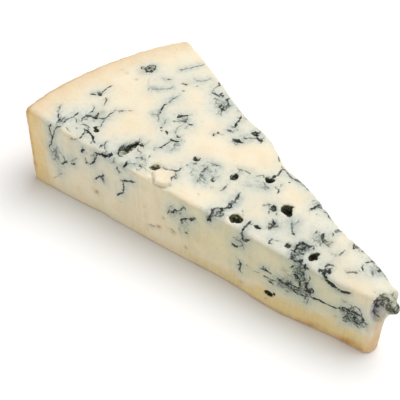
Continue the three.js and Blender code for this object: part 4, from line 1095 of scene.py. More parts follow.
def sink_pits(skin, pits):
    """Sinks the small holes and returns how far inside a hole each point is, from 0 to 1."""
    lining = np.zeros(len(skin.places))
    sunk = np.zeros_like(skin.places)
    for number, (face, place, half_u, half_v, depth, turn, dark, moved) in enumerate(pits):
        reach = 2.2 * max(half_u, half_v) + 1.0
        near = np.flatnonzero(np.abs(skin.places - place).max(axis=1) < reach + depth)
        if not len(near):
            continue
        right, up, out = on_face(skin.places[near], face, place)
        u = right * math.cos(turn) + up * math.sin(turn)
        v = up * math.cos(turn) - right * math.sin(turn)
        ragged = 0.28 * rough(skin.places[near], 0.9, number + 1)
        ragged = ragged + 0.12 * rough(skin.places[near], 0.4, number + 9)
        radius = np.hypot(u / half_u, v / half_v) + ragged
        if moved:
            # The hole's middle sinks most, and its ragged edge not at all.
            share = 1.0 - smooth_step(0.35, 1.1, radius)
            share *= out > -depth - 1.5
            sunk[near] -= (share * depth)[:, None] * face.normal()
            lining[near] = np.maximum(lining[near], smooth_step(0.08, 0.5, share) * dark)
            continue
        # A packed hole is deep already, so its lining is what lies below the paste round it.
        around = (radius > 1.3) & (radius < 2.0) & (out > -1.2)
        level = np.column_stack((right, up, np.ones(len(near))))
        fit = np.linalg.lstsq(level[around], out[around], rcond=None)[0]
        below = level @ fit - out
        share = smooth_step(0.1, 0.42, below) * (radius < 1.5) * (below < depth + 1.0)
        lining[near] = np.maximum(lining[near], share * dark)
    skin.places += sunk
    return lining


def nearest_veins(skin, marbling):
    """For each point of the skin: the way from its vein mark, how far that is, and which mark it is."""
    places = np.array(marbling.places)
    widths = np.array(marbling.widths)
    tree = kdtree.KDTree(len(places))
    for index, place in enumerate(places):
        tree.insert(place, index)
    tree.balance()
    chosen = np.empty(len(skin.places), dtype=np.int64)
    for index, place in enumerate(skin.places):
        found = tree.find_n(place, RIVAL_MARKS)
        chosen[index] = min(found, key=lambda one: one[2] - WIDTH_PULL * widths[one[1]])[1]
    offsets = skin.places - places[chosen]
    inward = np.sum(offsets * skin.normals, axis=1)
    offsets -= inward[:, None] * skin.normals
    return offsets, np.linalg.norm(offsets, axis=1) + 0.5 * np.abs(inward), chosen


def drop_on_skin(skin, tree, marbling):
    """How much mould the veins bring to each point of the skin."""
    amounts = np.zeros(len(skin.places))
    for place, mould in zip(marbling.places, marbling.mould):
        amounts[tree.find(place)[1]] += mould
    return amounts


def soft_spots(skin, spots):
    """The sum of round soft spots of (place, radius, amount) at each point of the skin."""
    total = np.zeros(len(skin.places))
    for place, radius, amount in spots:
        gaps = skin.places - place
        total += amount * np.exp(-np.sum(gaps * gaps, axis=1) / (radius * radius))
    return total


def moss_on_skin(skin, mosses):
    """The soft fill of mould inside the tangles."""
    total = np.zeros(len(skin.places))
    for face, place, radius_u, radius_v, amount in mosses:
        u, v, out = on_face(skin.places, face, place)
        far = (u / (radius_u + 0.3)) ** 2 + (v / (radius_v + 0.3)) ** 2 + (out / 2.5) ** 2
        total = np.maximum(total, amount * np.exp(-far * 0.9))
    return total


def rind_on_skin(skin):
    """How near each point is to the rim, the base and the crust itself, each from 0 to 1."""
    along, across, up = layout_of(skin.places)
    from_rim = WHEEL_RADIUS - np.hypot(along - WHEEL_RADIUS, across)
    uneven = rough(skin.places, 5.0, 3) + 0.5 * rough(skin.places, 1.8, 4)
    rim = 1.0 - smooth_step(2.0, 12.5, from_rim + 2.0 * uneven)
    thick = 5.5 + 4.5 * smooth_step(60.0, 130.0, along)
    base = 1.0 - smooth_step(0.4, 1.0, (up + 1.4 * uneven) / thick)
    base *= 0.2 + 0.8 * smooth_step(50.0, 110.0, along)
    low = (up + 0.3) * (2.4 - 1.95 * smooth_step(60.0, 130.0, along))
    crust = 1.0 - smooth_step(0.3, 2.2, np.minimum(from_rim, low) + 0.9 * uneven)
    return rim, base, crust


def raise_flakes(skin, flakes):
    """How far the flat flakes lift each point, and how far inside a flake it is."""
    lift = np.zeros(len(skin.places))
    inside = np.zeros(len(skin.places))
    for number, (face, corners, height) in enumerate(flakes):
        middle = np.mean(corners, axis=0)
        right, up, out = on_face(skin.places, face, middle)
        near = np.flatnonzero((np.abs(right) < 8.0) & (np.abs(up) < 8.0) & (np.abs(out) < 2.0))
        depth = np.full(len(near), 9.0)
        for start, end in zip(corners, corners[1:] + corners[:1]):
            along_side, up_side = on_face(end, face, start)[:2]
            length = math.hypot(along_side, up_side)
            u, v = on_face(middle, face, start)[:2]
            turn = math.copysign(1.0, along_side * v - up_side * u)
            u, v = on_face(skin.places[near], face, start)[:2]
            depth = np.minimum(depth, turn * (along_side * v - up_side * u) / length)
        depth += 0.12 * rough(skin.places[near], 1.3, number + 31)
        share = smooth_step(0.0, 0.3, depth)
        lift[near] += height * share
        inside[near] = np.maximum(inside[near], share)
    return lift, inside


def worn_tip(skin):
    """How far inside the tip's hollow each point is, how crumbly its mould is, and how worn its foot."""
    along, across = layout_of(skin.places)[:2]
    right, up = on_face(skin.places, TIP, from_layout(*HOLLOW_MIDDLE))[:2]
    ragged = 0.16 * rough(skin.places, 1.3, 41)
    radius = np.hypot(right / HOLLOW_HALF_WIDTH, up / HOLLOW_HALF_HEIGHT) + ragged
    facing = np.maximum(smooth_step(134.6, 135.2, along), smooth_step(0.3, 0.55, skin.normals[:, 0]))
    hollow = (1.0 - smooth_step(0.8, 1.0, radius)) * smooth_step(132.0, 132.8, along) * facing
    left = smooth_step(133.6, 134.2, along + 2.0 * ragged) * (1.0 - smooth_step(134.9, 135.4, along))
    beside = (1.0 - smooth_step(-1.9, -1.4, across)) * smooth_step(-1.0, 0.2, up)
    left *= beside * (1.0 - smooth_step(4.6, 5.6, up))
    above = np.exp(-((radius - 0.97) / 0.12) ** 2)
    above *= smooth_step(1.8, 3.2, up) * smooth_step(133.6, 134.4, along)
    inner = hollow * smooth_step(0.3, 1.6, right) * smooth_step(-2.0, 0.5, up)
    from_knob = (right - KNOB_RIGHT) ** 2 + (up - KNOB_UP) ** 2
    knob = np.exp(-from_knob / 3.6) * smooth_step(134.5, 136.0, along)
    crumbs = np.clip(left + above + 0.55 * inner + 0.6 * knob, 0.0, 1.0)
    hollow *= smooth_step(-4.6, -1.2, up - 0.5 * right)
    foot = smooth_step(132.8, 135.2, along) * (1.0 - smooth_step(-7.0, -2.0, up))
    return hollow, crumbs, foot


def sharp_edges(skin):
    """How much each point wears as part of the top's long edges, the far one more than the near one."""
    share = np.zeros(len(skin.places))
    from_top = on_face(skin.places, TOP, TOP.start)[2]
    for side in (FRONT, BACK):
        from_side = on_face(skin.places, side, side.start)[2]
        worn = 1.5 if side is BACK else 0.8
        share += worn * np.exp(-(from_top * from_top + from_side * from_side) / 1.6)
    return share


def uneven_paste(skin, sizes):
    """The paste's own broad and small dips."""
    lift = sizes.unevenness / MM * rough(skin.places, 6.0, 11)
    lift += 0.35 * sizes.unevenness / MM * rough(skin.places, 2.2, 12)
    return lift


def upright_noise(skin, share, size, seed):
    """Noise in upright streaks, the longer the less of the height it goes by."""
    return rough(skin.places * np.array((1.0, 1.0, share)), size, seed)


def foot_streaks(skin):
    """The upright streaks of the worn foot of the tip."""
    return upright_noise(skin, 0.12, 1.3, 19)


def shape_skin(skin, marbling, sizes):
    """Moves the skin's points, and returns what each one has become part of, by name."""
    lining = sink_pits(skin, marbling.pits)
    skin.write_places()
    reach, chosen = nearest_veins(skin, marbling)[1:]
    widths = np.array(marbling.widths)[chosen]
    cracks = np.array(marbling.cracks)[chosen]
    moss = moss_on_skin(skin, marbling.mosses)
    rim, base, crust = rind_on_skin(skin)
    along, across = layout_of(skin.places)[:2]
    lift = uneven_paste(skin, sizes)
    lift -= sizes.vein_groove / MM * np.exp(-(reach / (GROOVE_EDGE + widths)) ** 2)
    lift -= np.exp(-(reach / CRACK_WIDTH) ** 2) * cracks
    crumble = rough(skin.places, 0.9, 13) + 0.6 * rough(skin.places, 0.5, 14)
    lift += sizes.crumble / MM * crumble * np.clip(moss + 0.8 * lining, 0.0, 1.0)
    lift += RIND_GRAIN * rough(skin.places, 1.1, 15) * np.maximum(rim, base)
    raised, flake = raise_flakes(skin, marbling.flakes)
    lift += raised
    hollow, crumbs, foot = worn_tip(skin)
    lining = np.clip(lining + crumbs * (0.75 + 0.5 * rough(skin.places, 0.8, 18)), 0.0, 1.0)
    lift += FOOT_STREAKS * foot * foot_streaks(skin)
    lift -= FOOT_WEAR * foot * smooth_step(0.5, 3.0, across)
    cut = (1.0 - smooth_step(0.2, 0.5, np.abs(skin.normals[:, 2]))) * (1.0 - rim)
    streaks = upright_noise(skin, 0.05, 1.4, 21)
    lift += sizes.knife_marks / MM * cut * streaks * smooth_step(40.0, 75.0, along)
    lift += RIM_WAVES * rim * rough(skin.places, 3.0, 22)
    lift += TIP_CRUMBS * np.maximum(hollow, crumbs) * rough(skin.places, 1.0, 20)
    chips = rough(skin.places, 1.9, 16) + 0.6 * rough(skin.places, 0.8, 17)
    lift -= sizes.edge_wear / MM * sharp_edges(skin) * np.clip(0.25 + 1.3 * chips, 0.0, 1.4)
    skin.places += lift[:, None] * skin.normals
    skin.places[:, 2] = np.maximum(skin.places[:, 2], WEDGE_LOW[2] / MM)
    skin.write_places()
    return {
        "moss": moss,
        "lining": lining,
        "rim_rind": rim,
        "base_rind": base,
        "crust": crust,
        "hollow": hollow,
        "foot": foot,
        "flake": flake,
    }


def side_shade_share(skin, side):
    """How much painted shade darkens the upright cut sides, with a yellower tinge: most where the cuts near
    the tip, well above the base.
    """
    along, across, up = layout_of(skin.places)
    side_shade = smooth_step(45.0, 85.0, along) * (1.0 - smooth_step(122.0, 134.0, along))
    side_shade = side_shade * smooth_step(3.0, 11.0, up)
    return side * (0.3 + 0.7 * side_shade)


def mark_skin(skin, marbling, shaped):
    """Keeps on the skin what its material needs to know."""
    offsets, reach, chosen = nearest_veins(skin, marbling)
    mould = drop_on_skin(skin, skin.tree(), marbling)
    near = skin.spread(mould, HAZE_ROUNDS)
    wide = skin.spread(mould, COOL_ROUNDS)
    cool = 1.0 - np.exp(-4.2 * wide) + 0.5 * soft_spots(skin, marbling.blooms)
    worn = np.clip(0.55 + 0.9 * foot_streaks(skin), 0.15, 0.9)
    side = 1.0 - smooth_step(0.35, 0.8, skin.spread(skin.normals[:, 2], 3))
    for name in ("moss", "lining", "rim_rind", "base_rind", "crust", "hollow"):
        skin.write(name, shaped[name])
    skin.write("vein_offset", offsets)
    skin.write("vein_reach", reach)
    skin.write("vein_width", np.array(marbling.widths)[chosen])
    skin.write("vein_dark", np.array(marbling.darks)[chosen])
    skin.write("blue_haze", 1.0 - np.exp(-1.5 * near))
    skin.write("cool_haze", np.clip(cool - 0.8 * shaped["flake"], 0.0, 1.0))
    skin.write("stain", np.clip(soft_spots(skin, marbling.stains), 0.0, 1.0))
    skin.write("worn", shaped["foot"] * worn)
    skin.write("side", side)
    # The share of painted shade, with a yellower tinge, on the upright cut sides.
    skin.write("side_shade", side_shade_share(skin, side))


class Recipe:
    """A node material under way: adds nodes and joins them up."""

    def __init__(self, name):
        self.material = bpy.data.materials.new(name)
        self.material.use_nodes = True
        self.tree = self.material.node_tree
        self.tree.nodes.clear()

    def add(self, kind, inputs=None, **settings):
        """A node with its settings, and its inputs set or joined by name."""
        node = self.tree.nodes.new(kind)
        for name, value in settings.items():
            setattr(node, name, value)
        for name, value in (inputs or {}).items():
            self.feed(node.inputs[name], value)
        return node

    def feed(self, socket, value):
        """Joins an output to a socket, or sets the socket's own value."""
        if isinstance(value, bpy.types.NodeSocket):
            self.tree.links.new(value, socket)
        elif hasattr(value, "__len__") and len(value) == 3 and socket.type == "RGBA":
            socket.default_value = (*value, 1.0)
        else:
            socket.default_value = value

    def math(self, operation, first, second=0.0, clamp=False):
        """One sum of two numbers."""
        node = self.add("ShaderNodeMath", operation=operation, use_clamp=clamp)
        self.feed(node.inputs[0], first)
        self.feed(node.inputs[1], second)
        return node.outputs[0]

    def kept(self, name):
        """A number that the skin keeps."""
        return self.add("ShaderNodeAttribute", attribute_name=name).outputs["Fac"]

    def step(self, value, low, high, start=0.0, end=1.0):
        """An even curve from start to end while the value goes from low to high."""
        node = self.add("ShaderNodeMapRange", interpolation_type="SMOOTHSTEP")
        self.feed(node.inputs["Value"], value)
        self.feed(node.inputs["From Min"], low)
        self.feed(node.inputs["From Max"], high)
        self.feed(node.inputs["To Min"], start)
        self.feed(node.inputs["To Max"], end)
        return node.outputs["Result"]

    def noise(self, place, size, detail=2.0, roughness=0.5):
        """A noise node with lumps of that size in millimetres."""
        inputs = {"Vector": place, "Scale": 1.0 / (size * MM), "Detail": detail, "Roughness": roughness}
        return self.add("ShaderNodeTexNoise", inputs)

    def blend(self, share, below, above, way="MIX"):
        """Two colours mixed by a share."""
        node = self.add("ShaderNodeMix", data_type="RGBA", blend_type=way, clamp_factor=True)
        self.feed(node.inputs[0], share)
        self.feed(node.inputs[6], below)
        self.feed(node.inputs[7], above)
        return node.outputs[2]

    def vector(self, operation, first, second=None, scale=None):
        """One sum of two vectors."""
        node = self.add("ShaderNodeVectorMath", operation=operation)
        self.feed(node.inputs[0], first)
        if second is not None:
            self.feed(node.inputs[1], second)
        if scale is not None:
            self.feed(node.inputs["Scale"], scale)
        return node.outputs["Value"] if operation == "LENGTH" else node.outputs["Vector"]


def vein_mask(recipe, place):
    """Where a vein's thread runs, from 0 to 1."""
    offset = recipe.add("ShaderNodeAttribute", attribute_name="vein_offset").outputs["Vector"]
    reach = recipe.kept("vein_reach")
    width = recipe.kept("vein_width")
    shake = recipe.noise(place, 0.55, detail=3.0, roughness=0.6)
    shift = recipe.vector("SUBTRACT", shake.outputs["Color"], (0.5, 0.5, 0.5))
    shift = recipe.vector("SCALE", shift, scale=0.45)
    gap = recipe.vector("LENGTH", recipe.vector("ADD", offset, shift))
    swell = recipe.step(recipe.noise(place, 0.8).outputs["Fac"], 0.3, 0.7, 0.6, 1.45)
    thread = recipe.math("MULTIPLY", width, swell)
    inner = recipe.math("SUBTRACT", thread, 0.1)
    outer = recipe.math("ADD", thread, 0.17)
    line = recipe.step(gap, inner, outer, 1.0, 0.0)
    guard = recipe.step(reach, recipe.math("ADD", width, 0.5), recipe.math("ADD", width, 0.8), 1.0, 0.0)
    mask = recipe.math("MULTIPLY", line, guard)
    return recipe.math("MULTIPLY", mask, recipe.kept("vein_dark"), clamp=True)


def flecked(recipe, name, fleck, amount):
    """A share that the skin keeps, made uneven by a noise of that amount either way."""
    return recipe.math("ADD", recipe.kept(name), recipe.step(fleck, 0.3, 0.7, -amount, amount), clamp=True)


def flecked_rind(recipe, name, fleck):
    """A share of rind that the skin keeps, uneven but still 0 where there is none."""
    share = flecked(recipe, name, fleck, 0.14)
    share = recipe.math("MULTIPLY", share, recipe.step(recipe.kept(name), 0.0, 0.3))
    return recipe.math("MULTIPLY", share, 0.85)


def paste_colour(recipe, place, look):
    """The cheese without its veins: cream paste, cooler round the mould, tan by the rind, with painted shade
    on the cut sides and in their knife streaks.
    """
    cloud = recipe.noise(place, 7.0, detail=3.0).outputs["Fac"]
    fleck = recipe.noise(place, 1.3, detail=3.0, roughness=0.6).outputs["Fac"]
    colour = recipe.blend(recipe.step(cloud, 0.35, 0.7), look.cream, look.warm_cream)
    cool = flecked(recipe, "cool_haze", cloud, 0.18)
    colour = recipe.blend(recipe.math("MULTIPLY", cool, 0.72), colour, look.cool_cream)
    colour = recipe.blend(flecked_rind(recipe, "base_rind", fleck), colour, look.old_paste)
    tan = recipe.blend(recipe.kept("side"), look.rind_tan, look.rim_side)
    colour = recipe.blend(flecked_rind(recipe, "rim_rind", fleck), colour, tan)
    crust = recipe.math("MULTIPLY", recipe.kept("crust"), recipe.step(cloud, 0.3, 0.65, 0.4, 0.95))
    colour = recipe.blend(crust, colour, look.rind_rust)
    stain = recipe.math("MULTIPLY", recipe.kept("stain"), recipe.step(fleck, 0.25, 0.65, 0.5, 1.0))
    colour = recipe.blend(stain, colour, look.stain_olive)
    colour = recipe.blend(recipe.kept("worn"), colour, look.tip_peach)
    # Painted shade of the knife's streaks on the upright cuts: upright stripes of noise darken the colour.
    upright = recipe.vector("MULTIPLY", place, (1.0, 1.0, 0.05))
    streaks = recipe.noise(upright, 1.0, detail=2.0).outputs["Fac"]
    streaks = recipe.math("MULTIPLY", recipe.step(streaks, 0.35, 0.65), recipe.kept("side"))
    streaks = recipe.math("MULTIPLY", streaks, recipe.step(cloud, 0.42, 0.62, 0.05, 0.5))
    colour = recipe.blend(streaks, colour, look.streak_shade, way="MULTIPLY")
    # Painted shade: the upright cut sides are darkened, and tinged yellower, by the side shade tinge.
    return recipe.blend(recipe.kept("side_shade"), colour, look.side_shade_tinge, way="MULTIPLY")


def mould_colour(recipe, place, colour, mask, look):
    """Adds the blue haze, the moss, the threads of the veins and the lining of the holes.

    Returns the colour, the share of moss, and where the surface is dark mould.
    """
    fleck = recipe.noise(place, 0.7, detail=4.0, roughness=0.65).outputs["Fac"]
    patchy = recipe.noise(place, 1.8, detail=3.0).outputs["Fac"]
    haze = recipe.math("MULTIPLY", recipe.kept("blue_haze"), recipe.step(patchy, 0.3, 0.7, 0.35, 1.0))
    colour = recipe.blend(recipe.math("MULTIPLY", haze, 0.88), colour, look.haze_grey)
    cloudy = recipe.math("MULTIPLY", recipe.kept("hollow"), recipe.step(fleck, 0.25, 0.6, 0.7, 1.0))
    colour = recipe.blend(cloudy, colour, look.hollow_lilac)
    ridge = recipe.noise(place, 1.6, detail=3.0, roughness=0.6).outputs["Fac"]
    ridge = recipe.math("ABSOLUTE", recipe.math("SUBTRACT", ridge, 0.5))
    wisps = recipe.math("MULTIPLY", recipe.step(ridge, 0.0, 0.045, 1.0, 0.0), recipe.kept("cool_haze"))
    wisps = recipe.math("MULTIPLY", wisps, recipe.step(patchy, 0.42, 0.68, 0.0, 0.55))
    colour = recipe.blend(wisps, colour, look.haze_grey)
    moss = recipe.math("MULTIPLY", recipe.kept("moss"), recipe.step(fleck, 0.3, 0.7, 0.35, 1.6))
    moss_share = recipe.step(moss, 0.05, 0.75)
    colour = recipe.blend(recipe.math("MULTIPLY", moss_share, 0.85), colour, look.moss_grey)
    colour = recipe.blend(recipe.step(moss, 0.5, 1.0), colour, look.moss_dark)
    lining = recipe.math("ADD", recipe.kept("lining"), recipe.step(fleck, 0.3, 0.7, -0.3, 0.3))
    lined = recipe.step(lining, 0.2, 0.55)
    colour = recipe.blend(lined, colour, look.hole_olive)
    colour = recipe.blend(mask, colour, look.vein_dark)
    colour = recipe.blend(recipe.step(lining, 0.65, 0.95), colour, look.hole_dark)
    return colour, moss_share, recipe.math("MAXIMUM", mask, lined)


def cheese_material(look):
    """The paste, rind and mould of the wedge."""
    recipe = Recipe("cheese_paste")
    place = recipe.add("ShaderNodeTexCoord").outputs["Object"]
    mask = vein_mask(recipe, place)
    colour = paste_colour(recipe, place, look)
    colour, moss, dark = mould_colour(recipe, place, colour, mask, look)
    scatter = recipe.math("MULTIPLY", recipe.math("SUBTRACT", 1.0, dark), look.translucency)
    grain = recipe.noise(place, 0.6, detail=4.0, roughness=0.65).outputs["Fac"]
    curd = recipe.noise(place, 2.2, detail=2.0).outputs["Fac"]
    height = recipe.math("ADD", recipe.math("MULTIPLY", grain, 0.5), curd)
    height = recipe.math("SUBTRACT", height, recipe.math("MULTIPLY", mask, 0.8))
    height = recipe.math("ADD", height, recipe.math("MULTIPLY", recipe.math("MULTIPLY", moss, grain), 1.5))
    bump = recipe.add("ShaderNodeBump", {"Height": height, "Strength": 0.5, "Distance": look.grain_depth})
    gloss = recipe.step(curd, 0.3, 0.7, 0.42, 0.58)
    gloss = recipe.math("ADD", gloss, recipe.math("MULTIPLY", moss, 0.3), clamp=True)
    shader = recipe.add("ShaderNodeBsdfPrincipled", {
        "Base Color": colour,
        "Roughness": gloss,
        "Normal": bump.outputs["Normal"],
        "IOR": 1.42,
        "Subsurface Weight": scatter,
        "Subsurface Radius": (1.0, 0.75, 0.45),
        "Subsurface Scale": 0.0011,
    })
    recipe.add("ShaderNodeOutputMaterial", {"Surface": shader.outputs["BSDF"]})
    return recipe.material


def fine_skin(name, voxel):
    """A fine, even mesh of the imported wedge's shape, as a new object."""
    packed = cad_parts["cheese_wedge"]
    rough_copy = bpy.data.objects.new(name + "_source", packed.data.copy())
    bpy.context.collection.objects.link(rough_copy)
    remesh = rough_copy.modifiers.new("even_mesh", "REMESH")
    remesh.mode = "VOXEL"
    remesh.voxel_size = voxel
    remesh.use_smooth_shade = True
    ready = rough_copy.evaluated_get(bpy.context.evaluated_depsgraph_get())
    mesh = bpy.data.meshes.new_from_object(ready)
    mesh.name = name
    mesh.materials.clear()
    bpy.data.objects.remove(rough_copy, do_unlink=True)
    piece = bpy.data.objects.new(name, mesh)
    bpy.context.collection.objects.link(piece)
    return piece


class CheeseLook(bpy.types.PropertyGroup):
    """Sizes and colours of the cheese."""

    voxel: bpy.props.FloatProperty(
        name="Mesh Step", description="Distance between the points of the skin",
        default=0.00049, unit="LENGTH")
    unevenness: bpy.props.FloatProperty(
        name="Unevenness", description="How far the paste rises and dips",
        default=0.00012, unit="LENGTH")
    vein_groove: bpy.props.FloatProperty(
        name="Vein Groove", description="How deep a vein lies",
        default=0.00014, unit="LENGTH")
    crumble: bpy.props.FloatProperty(
        name="Crumble", description="How rough the mossy mould is",
        default=0.0003, unit="LENGTH")
    edge_wear: bpy.props.FloatProperty(
        name="Edge Wear", description="How deep the top's edges are chipped",
        default=0.00045, unit="LENGTH")
    knife_marks: bpy.props.FloatProperty(
        name="Knife Marks", description="How deep the streaks of the knife are",
        default=0.00014, unit="LENGTH")
    grain_depth: bpy.props.FloatProperty(
        name="Grain", description="How deep the finest grain of the paste is",
        default=0.00012, unit="LENGTH")
    seed: bpy.props.IntProperty(
        name="Seed", description="Picks the crookedness of the veins",
        default=7)
    translucency: bpy.props.FloatProperty(
        name="Translucency", description="How much light passes through the paste",
        default=0.3, subtype="FACTOR")
    cream: bpy.props.FloatVectorProperty(
        name="Cream", description="Clean paste",
        default=tint(237, 226, 200), subtype="COLOR")
    warm_cream: bpy.props.FloatVectorProperty(
        name="Warm Cream", description="Paste where it is warmest",
        default=tint(239, 221, 188), subtype="COLOR")
    cool_cream: bpy.props.FloatVectorProperty(
        name="Cool Cream", description="Paste round the mould",
        default=tint(210, 215, 205), subtype="COLOR")
    old_paste: bpy.props.FloatVectorProperty(
        name="Old Paste", description="Paste next to the base",
        default=tint(229, 204, 141), subtype="COLOR")
    rind_tan: bpy.props.FloatVectorProperty(
        name="Rind Tan", description="Rind band at the wide end",
        default=tint(228, 204, 166), subtype="COLOR")
    rind_rust: bpy.props.FloatVectorProperty(
        name="Rind Rust", description="Outer skin of the rind",
        default=tint(202, 150, 80), subtype="COLOR")
    stain_olive: bpy.props.FloatVectorProperty(
        name="Stain Olive", description="Olive brown spots",
        default=tint(176, 150, 98), subtype="COLOR")
    # Painted shade of the upright cut sides, with a yellower tinge of the cut paste.
    side_shade_tinge: bpy.props.FloatVectorProperty(
        name="Side Tinge", description="How the cut sides tint the paste",
        default=(0.86, 0.86, 0.73), subtype="COLOR")
    # Painted shade of the knife's streaks on the cuts.
    streak_shade: bpy.props.FloatVectorProperty(
        name="Streak", description="How the knife's streaks tint the cuts",
        default=(0.88, 0.88, 0.84), subtype="COLOR")
    haze_grey: bpy.props.FloatVectorProperty(
        name="Haze Grey", description="Thin mould in the paste",
        default=tint(166, 177, 170), subtype="COLOR")
    moss_grey: bpy.props.FloatVectorProperty(
        name="Moss Grey", description="Thick mould",
        default=tint(88, 104, 92), subtype="COLOR")
    moss_dark: bpy.props.FloatVectorProperty(
        name="Moss Dark", description="Thickest mould",
        default=tint(42, 51, 36), subtype="COLOR")
    hollow_lilac: bpy.props.FloatVectorProperty(
        name="Hollow Lilac", description="Inside of the tip's hollow",
        default=tint(178, 174, 176), subtype="COLOR")
    tip_peach: bpy.props.FloatVectorProperty(
        name="Tip Peach", description="Worn paste at the foot of the tip",
        default=tint(226, 188, 150), subtype="COLOR")
    rim_side: bpy.props.FloatVectorProperty(
        name="Rim Side", description="Rind band on the upright sides",
        default=tint(233, 200, 134), subtype="COLOR")
    vein_dark: bpy.props.FloatVectorProperty(
        name="Vein Dark", description="Threads of the veins",
        default=tint(16, 25, 18), subtype="COLOR")
    hole_olive: bpy.props.FloatVectorProperty(
        name="Hole Olive", description="Walls of the holes",
        default=tint(96, 98, 70), subtype="COLOR")
    hole_dark: bpy.props.FloatVectorProperty(
        name="Hole Dark", description="Floors of the holes",
        default=tint(24, 27, 15), subtype="COLOR")


class StudioLook(bpy.types.PropertyGroup):
    """Floor, lights and camera."""

    floor_width: bpy.props.FloatProperty(
        name="Floor Width", description="Side of the square floor",
        default=4.0, unit="LENGTH")
    floor_colour: bpy.props.FloatVectorProperty(
        name="Floor Colour", description="Colour of the floor",
        default=tint(250, 249, 248), subtype="COLOR")
    sky: bpy.props.FloatProperty(
        name="Sky", description="Strength of the even light",
        default=0.38)
    key: bpy.props.FloatProperty(
        name="Key Light", description="Power of the large lamp above",
        default=10.6, unit="POWER")
    fill: bpy.props.FloatProperty(
        name="Fill Light", description="Power of the weak lamp in front",
        default=1.7, unit="POWER")
    lens: bpy.props.FloatProperty(
        name="Lens", description="Focal length of the camera",
        default=0.081, unit="LENGTH")
    distance: bpy.props.FloatProperty(
        name="Distance", description="From the camera to what it looks at",
        default=0.316, unit="LENGTH")
    turn: bpy.props.FloatProperty(
        name="Turn", description="The camera's angle round the wedge",
        default=math.radians(50.4), subtype="ANGLE")
    rise: bpy.props.FloatProperty(
        name="Rise", description="The camera's angle above the floor",
        default=math.radians(41.8), subtype="ANGLE")
    target: bpy.props.FloatVectorProperty(
        name="Target", description="What the camera looks at",
        default=(-0.0174, 0.0035, 0.0), subtype="XYZ")


class CHEESE_OT_wedge(bpy.types.Operator):
    """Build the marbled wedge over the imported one"""

    bl_idname = "cheese.wedge"
    bl_label = "Build Wedge"

    def execute(self, context):
        look = context.scene.cheese_look
        piece = fine_skin("blue_cheese_wedge", look.voxel)
        skin = Skin(piece.data)
        if len(skin.places) < FEWEST_POINTS:
            raise RuntimeError("the packed wedge gave no fine skin")
        skin.relax(SMOOTH_ROUNDS)
        skin.write_places()
        marbling = marble(skin.surface(), look.seed)
        shaped = shape_skin(skin, marbling, look)
        mark_skin(skin, marbling, shaped)
        piece.data.materials.append(cheese_material(look))
        piece.data.shade_smooth()
        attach(piece, "root")
        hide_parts("cheese_wedge")
        return {"FINISHED"}


class CHEESE_OT_stage(bpy.types.Operator):
    """Build the floor, the lights and the camera"""

    bl_idname = "cheese.stage"
    bl_label = "Build Stage"

    def execute(self, context):
        studio = context.scene.cheese_studio
        build_floor(studio)
        build_lights(context.scene, studio)
        build_camera(context.scene, studio)
        return {"FINISHED"}


def build_floor(studio):
    """A plain pale floor."""
    half = studio.floor_width / 2
    mesh = bpy.data.meshes.new("studio_floor")
    corners = [(-half, -half, 0.0), (half, -half, 0.0), (half, half, 0.0), (-half, half, 0.0)]
    mesh.from_pydata(corners, [], [(0, 1, 2, 3)])
    floor = bpy.data.objects.new("studio_floor", mesh)
    bpy.context.collection.objects.link(floor)
    recipe = Recipe("studio_floor")
    shader = recipe.add("ShaderNodeBsdfPrincipled", {"Base Color": studio.floor_colour, "Roughness": 0.9})
    shader.inputs["Specular IOR Level"].default_value = 0.1
    recipe.add("ShaderNodeOutputMaterial", {"Surface": shader.outputs["BSDF"]})
    mesh.materials.append(recipe.material)


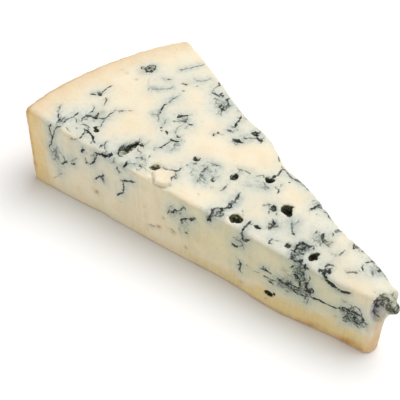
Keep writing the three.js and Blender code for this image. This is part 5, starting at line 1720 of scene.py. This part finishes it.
def build_lights(scene, studio):
    """A large soft lamp above and behind, a weak one in front, and a pale sky that looks white."""
    for name, size, power, place in (
        ("key_lamp", 0.95, studio.key, (0.08, 0.42, 1.0)),
        ("fill_lamp", 0.6, studio.fill, (0.15, -0.9, 0.3)),
    ):
        lamp = bpy.data.lights.new(name, "AREA")
        lamp.shape = "DISK"
        lamp.size = size
        lamp.energy = power
        holder = bpy.data.objects.new(name, lamp)
        holder.location = place
        holder.rotation_euler = (-Vector(place)).to_track_quat("-Z", "Y").to_euler()
        bpy.context.collection.objects.link(holder)
    world = bpy.data.worlds.new("studio_sky")
    world.use_nodes = True
    nodes = world.node_tree.nodes
    nodes.clear()
    sky = nodes.new("ShaderNodeBackground")
    sky.inputs["Strength"].default_value = studio.sky
    seen = nodes.new("ShaderNodeBackground")
    ray = nodes.new("ShaderNodeLightPath")
    mix = nodes.new("ShaderNodeMixShader")
    output = nodes.new("ShaderNodeOutputWorld")
    for start, end in (
        (ray.outputs["Is Camera Ray"], mix.inputs[0]),
        (sky.outputs[0], mix.inputs[1]),
        (seen.outputs[0], mix.inputs[2]),
        (mix.outputs[0], output.inputs["Surface"]),
    ):
        world.node_tree.links.new(start, end)
    for background in (sky, seen):
        background.inputs["Color"].default_value = (1.0, 1.0, 1.0, 1.0)
    scene.world = world
    scene.view_settings.view_transform = "Standard"


def build_camera(scene, studio):
    """The camera, looking down at the front cut and the tip."""
    back = Vector((
        math.sin(studio.turn) * math.cos(studio.rise),
        -math.cos(studio.turn) * math.cos(studio.rise),
        math.sin(studio.rise),
    ))
    lens = bpy.data.cameras.new("camera")
    lens.sensor_width = 36.0
    lens.lens = studio.lens / MM
    lens.clip_start = 0.01
    camera = bpy.data.objects.new("camera", lens)
    camera.location = Vector(studio.target) + back * studio.distance
    camera.rotation_euler = (-back).to_track_quat("-Z", "Y").to_euler()
    bpy.context.collection.objects.link(camera)
    scene.camera = camera


class CHEESE_PT_panel(bpy.types.Panel):
    """Lists the cheese's and the studio's settings and operators"""

    bl_label = "Blue Cheese"
    bl_space_type = "VIEW_3D"
    bl_region_type = "UI"
    bl_category = "Cheese"

    def draw(self, context):
        layout = self.layout
        for group in (context.scene.cheese_look, context.scene.cheese_studio):
            column = layout.column()
            for name in group.__annotations__:
                column.prop(group, name)
        layout.operator(CHEESE_OT_wedge.bl_idname)
        layout.operator(CHEESE_OT_stage.bl_idname)


CLASSES = (CheeseLook, StudioLook, CHEESE_OT_wedge, CHEESE_OT_stage, CHEESE_PT_panel)


def register():
    for one in CLASSES:
        bpy.utils.register_class(one)
    bpy.types.Scene.cheese_look = bpy.props.PointerProperty(type=CheeseLook)
    bpy.types.Scene.cheese_studio = bpy.props.PointerProperty(type=StudioLook)


def unregister():
    del bpy.types.Scene.cheese_studio
    del bpy.types.Scene.cheese_look
    for one in reversed(CLASSES):
        bpy.utils.unregister_class(one)


def main():
    register()
    bpy.ops.cheese.wedge()
    bpy.ops.cheese.stage()


if __name__ == "__main__":
    main()
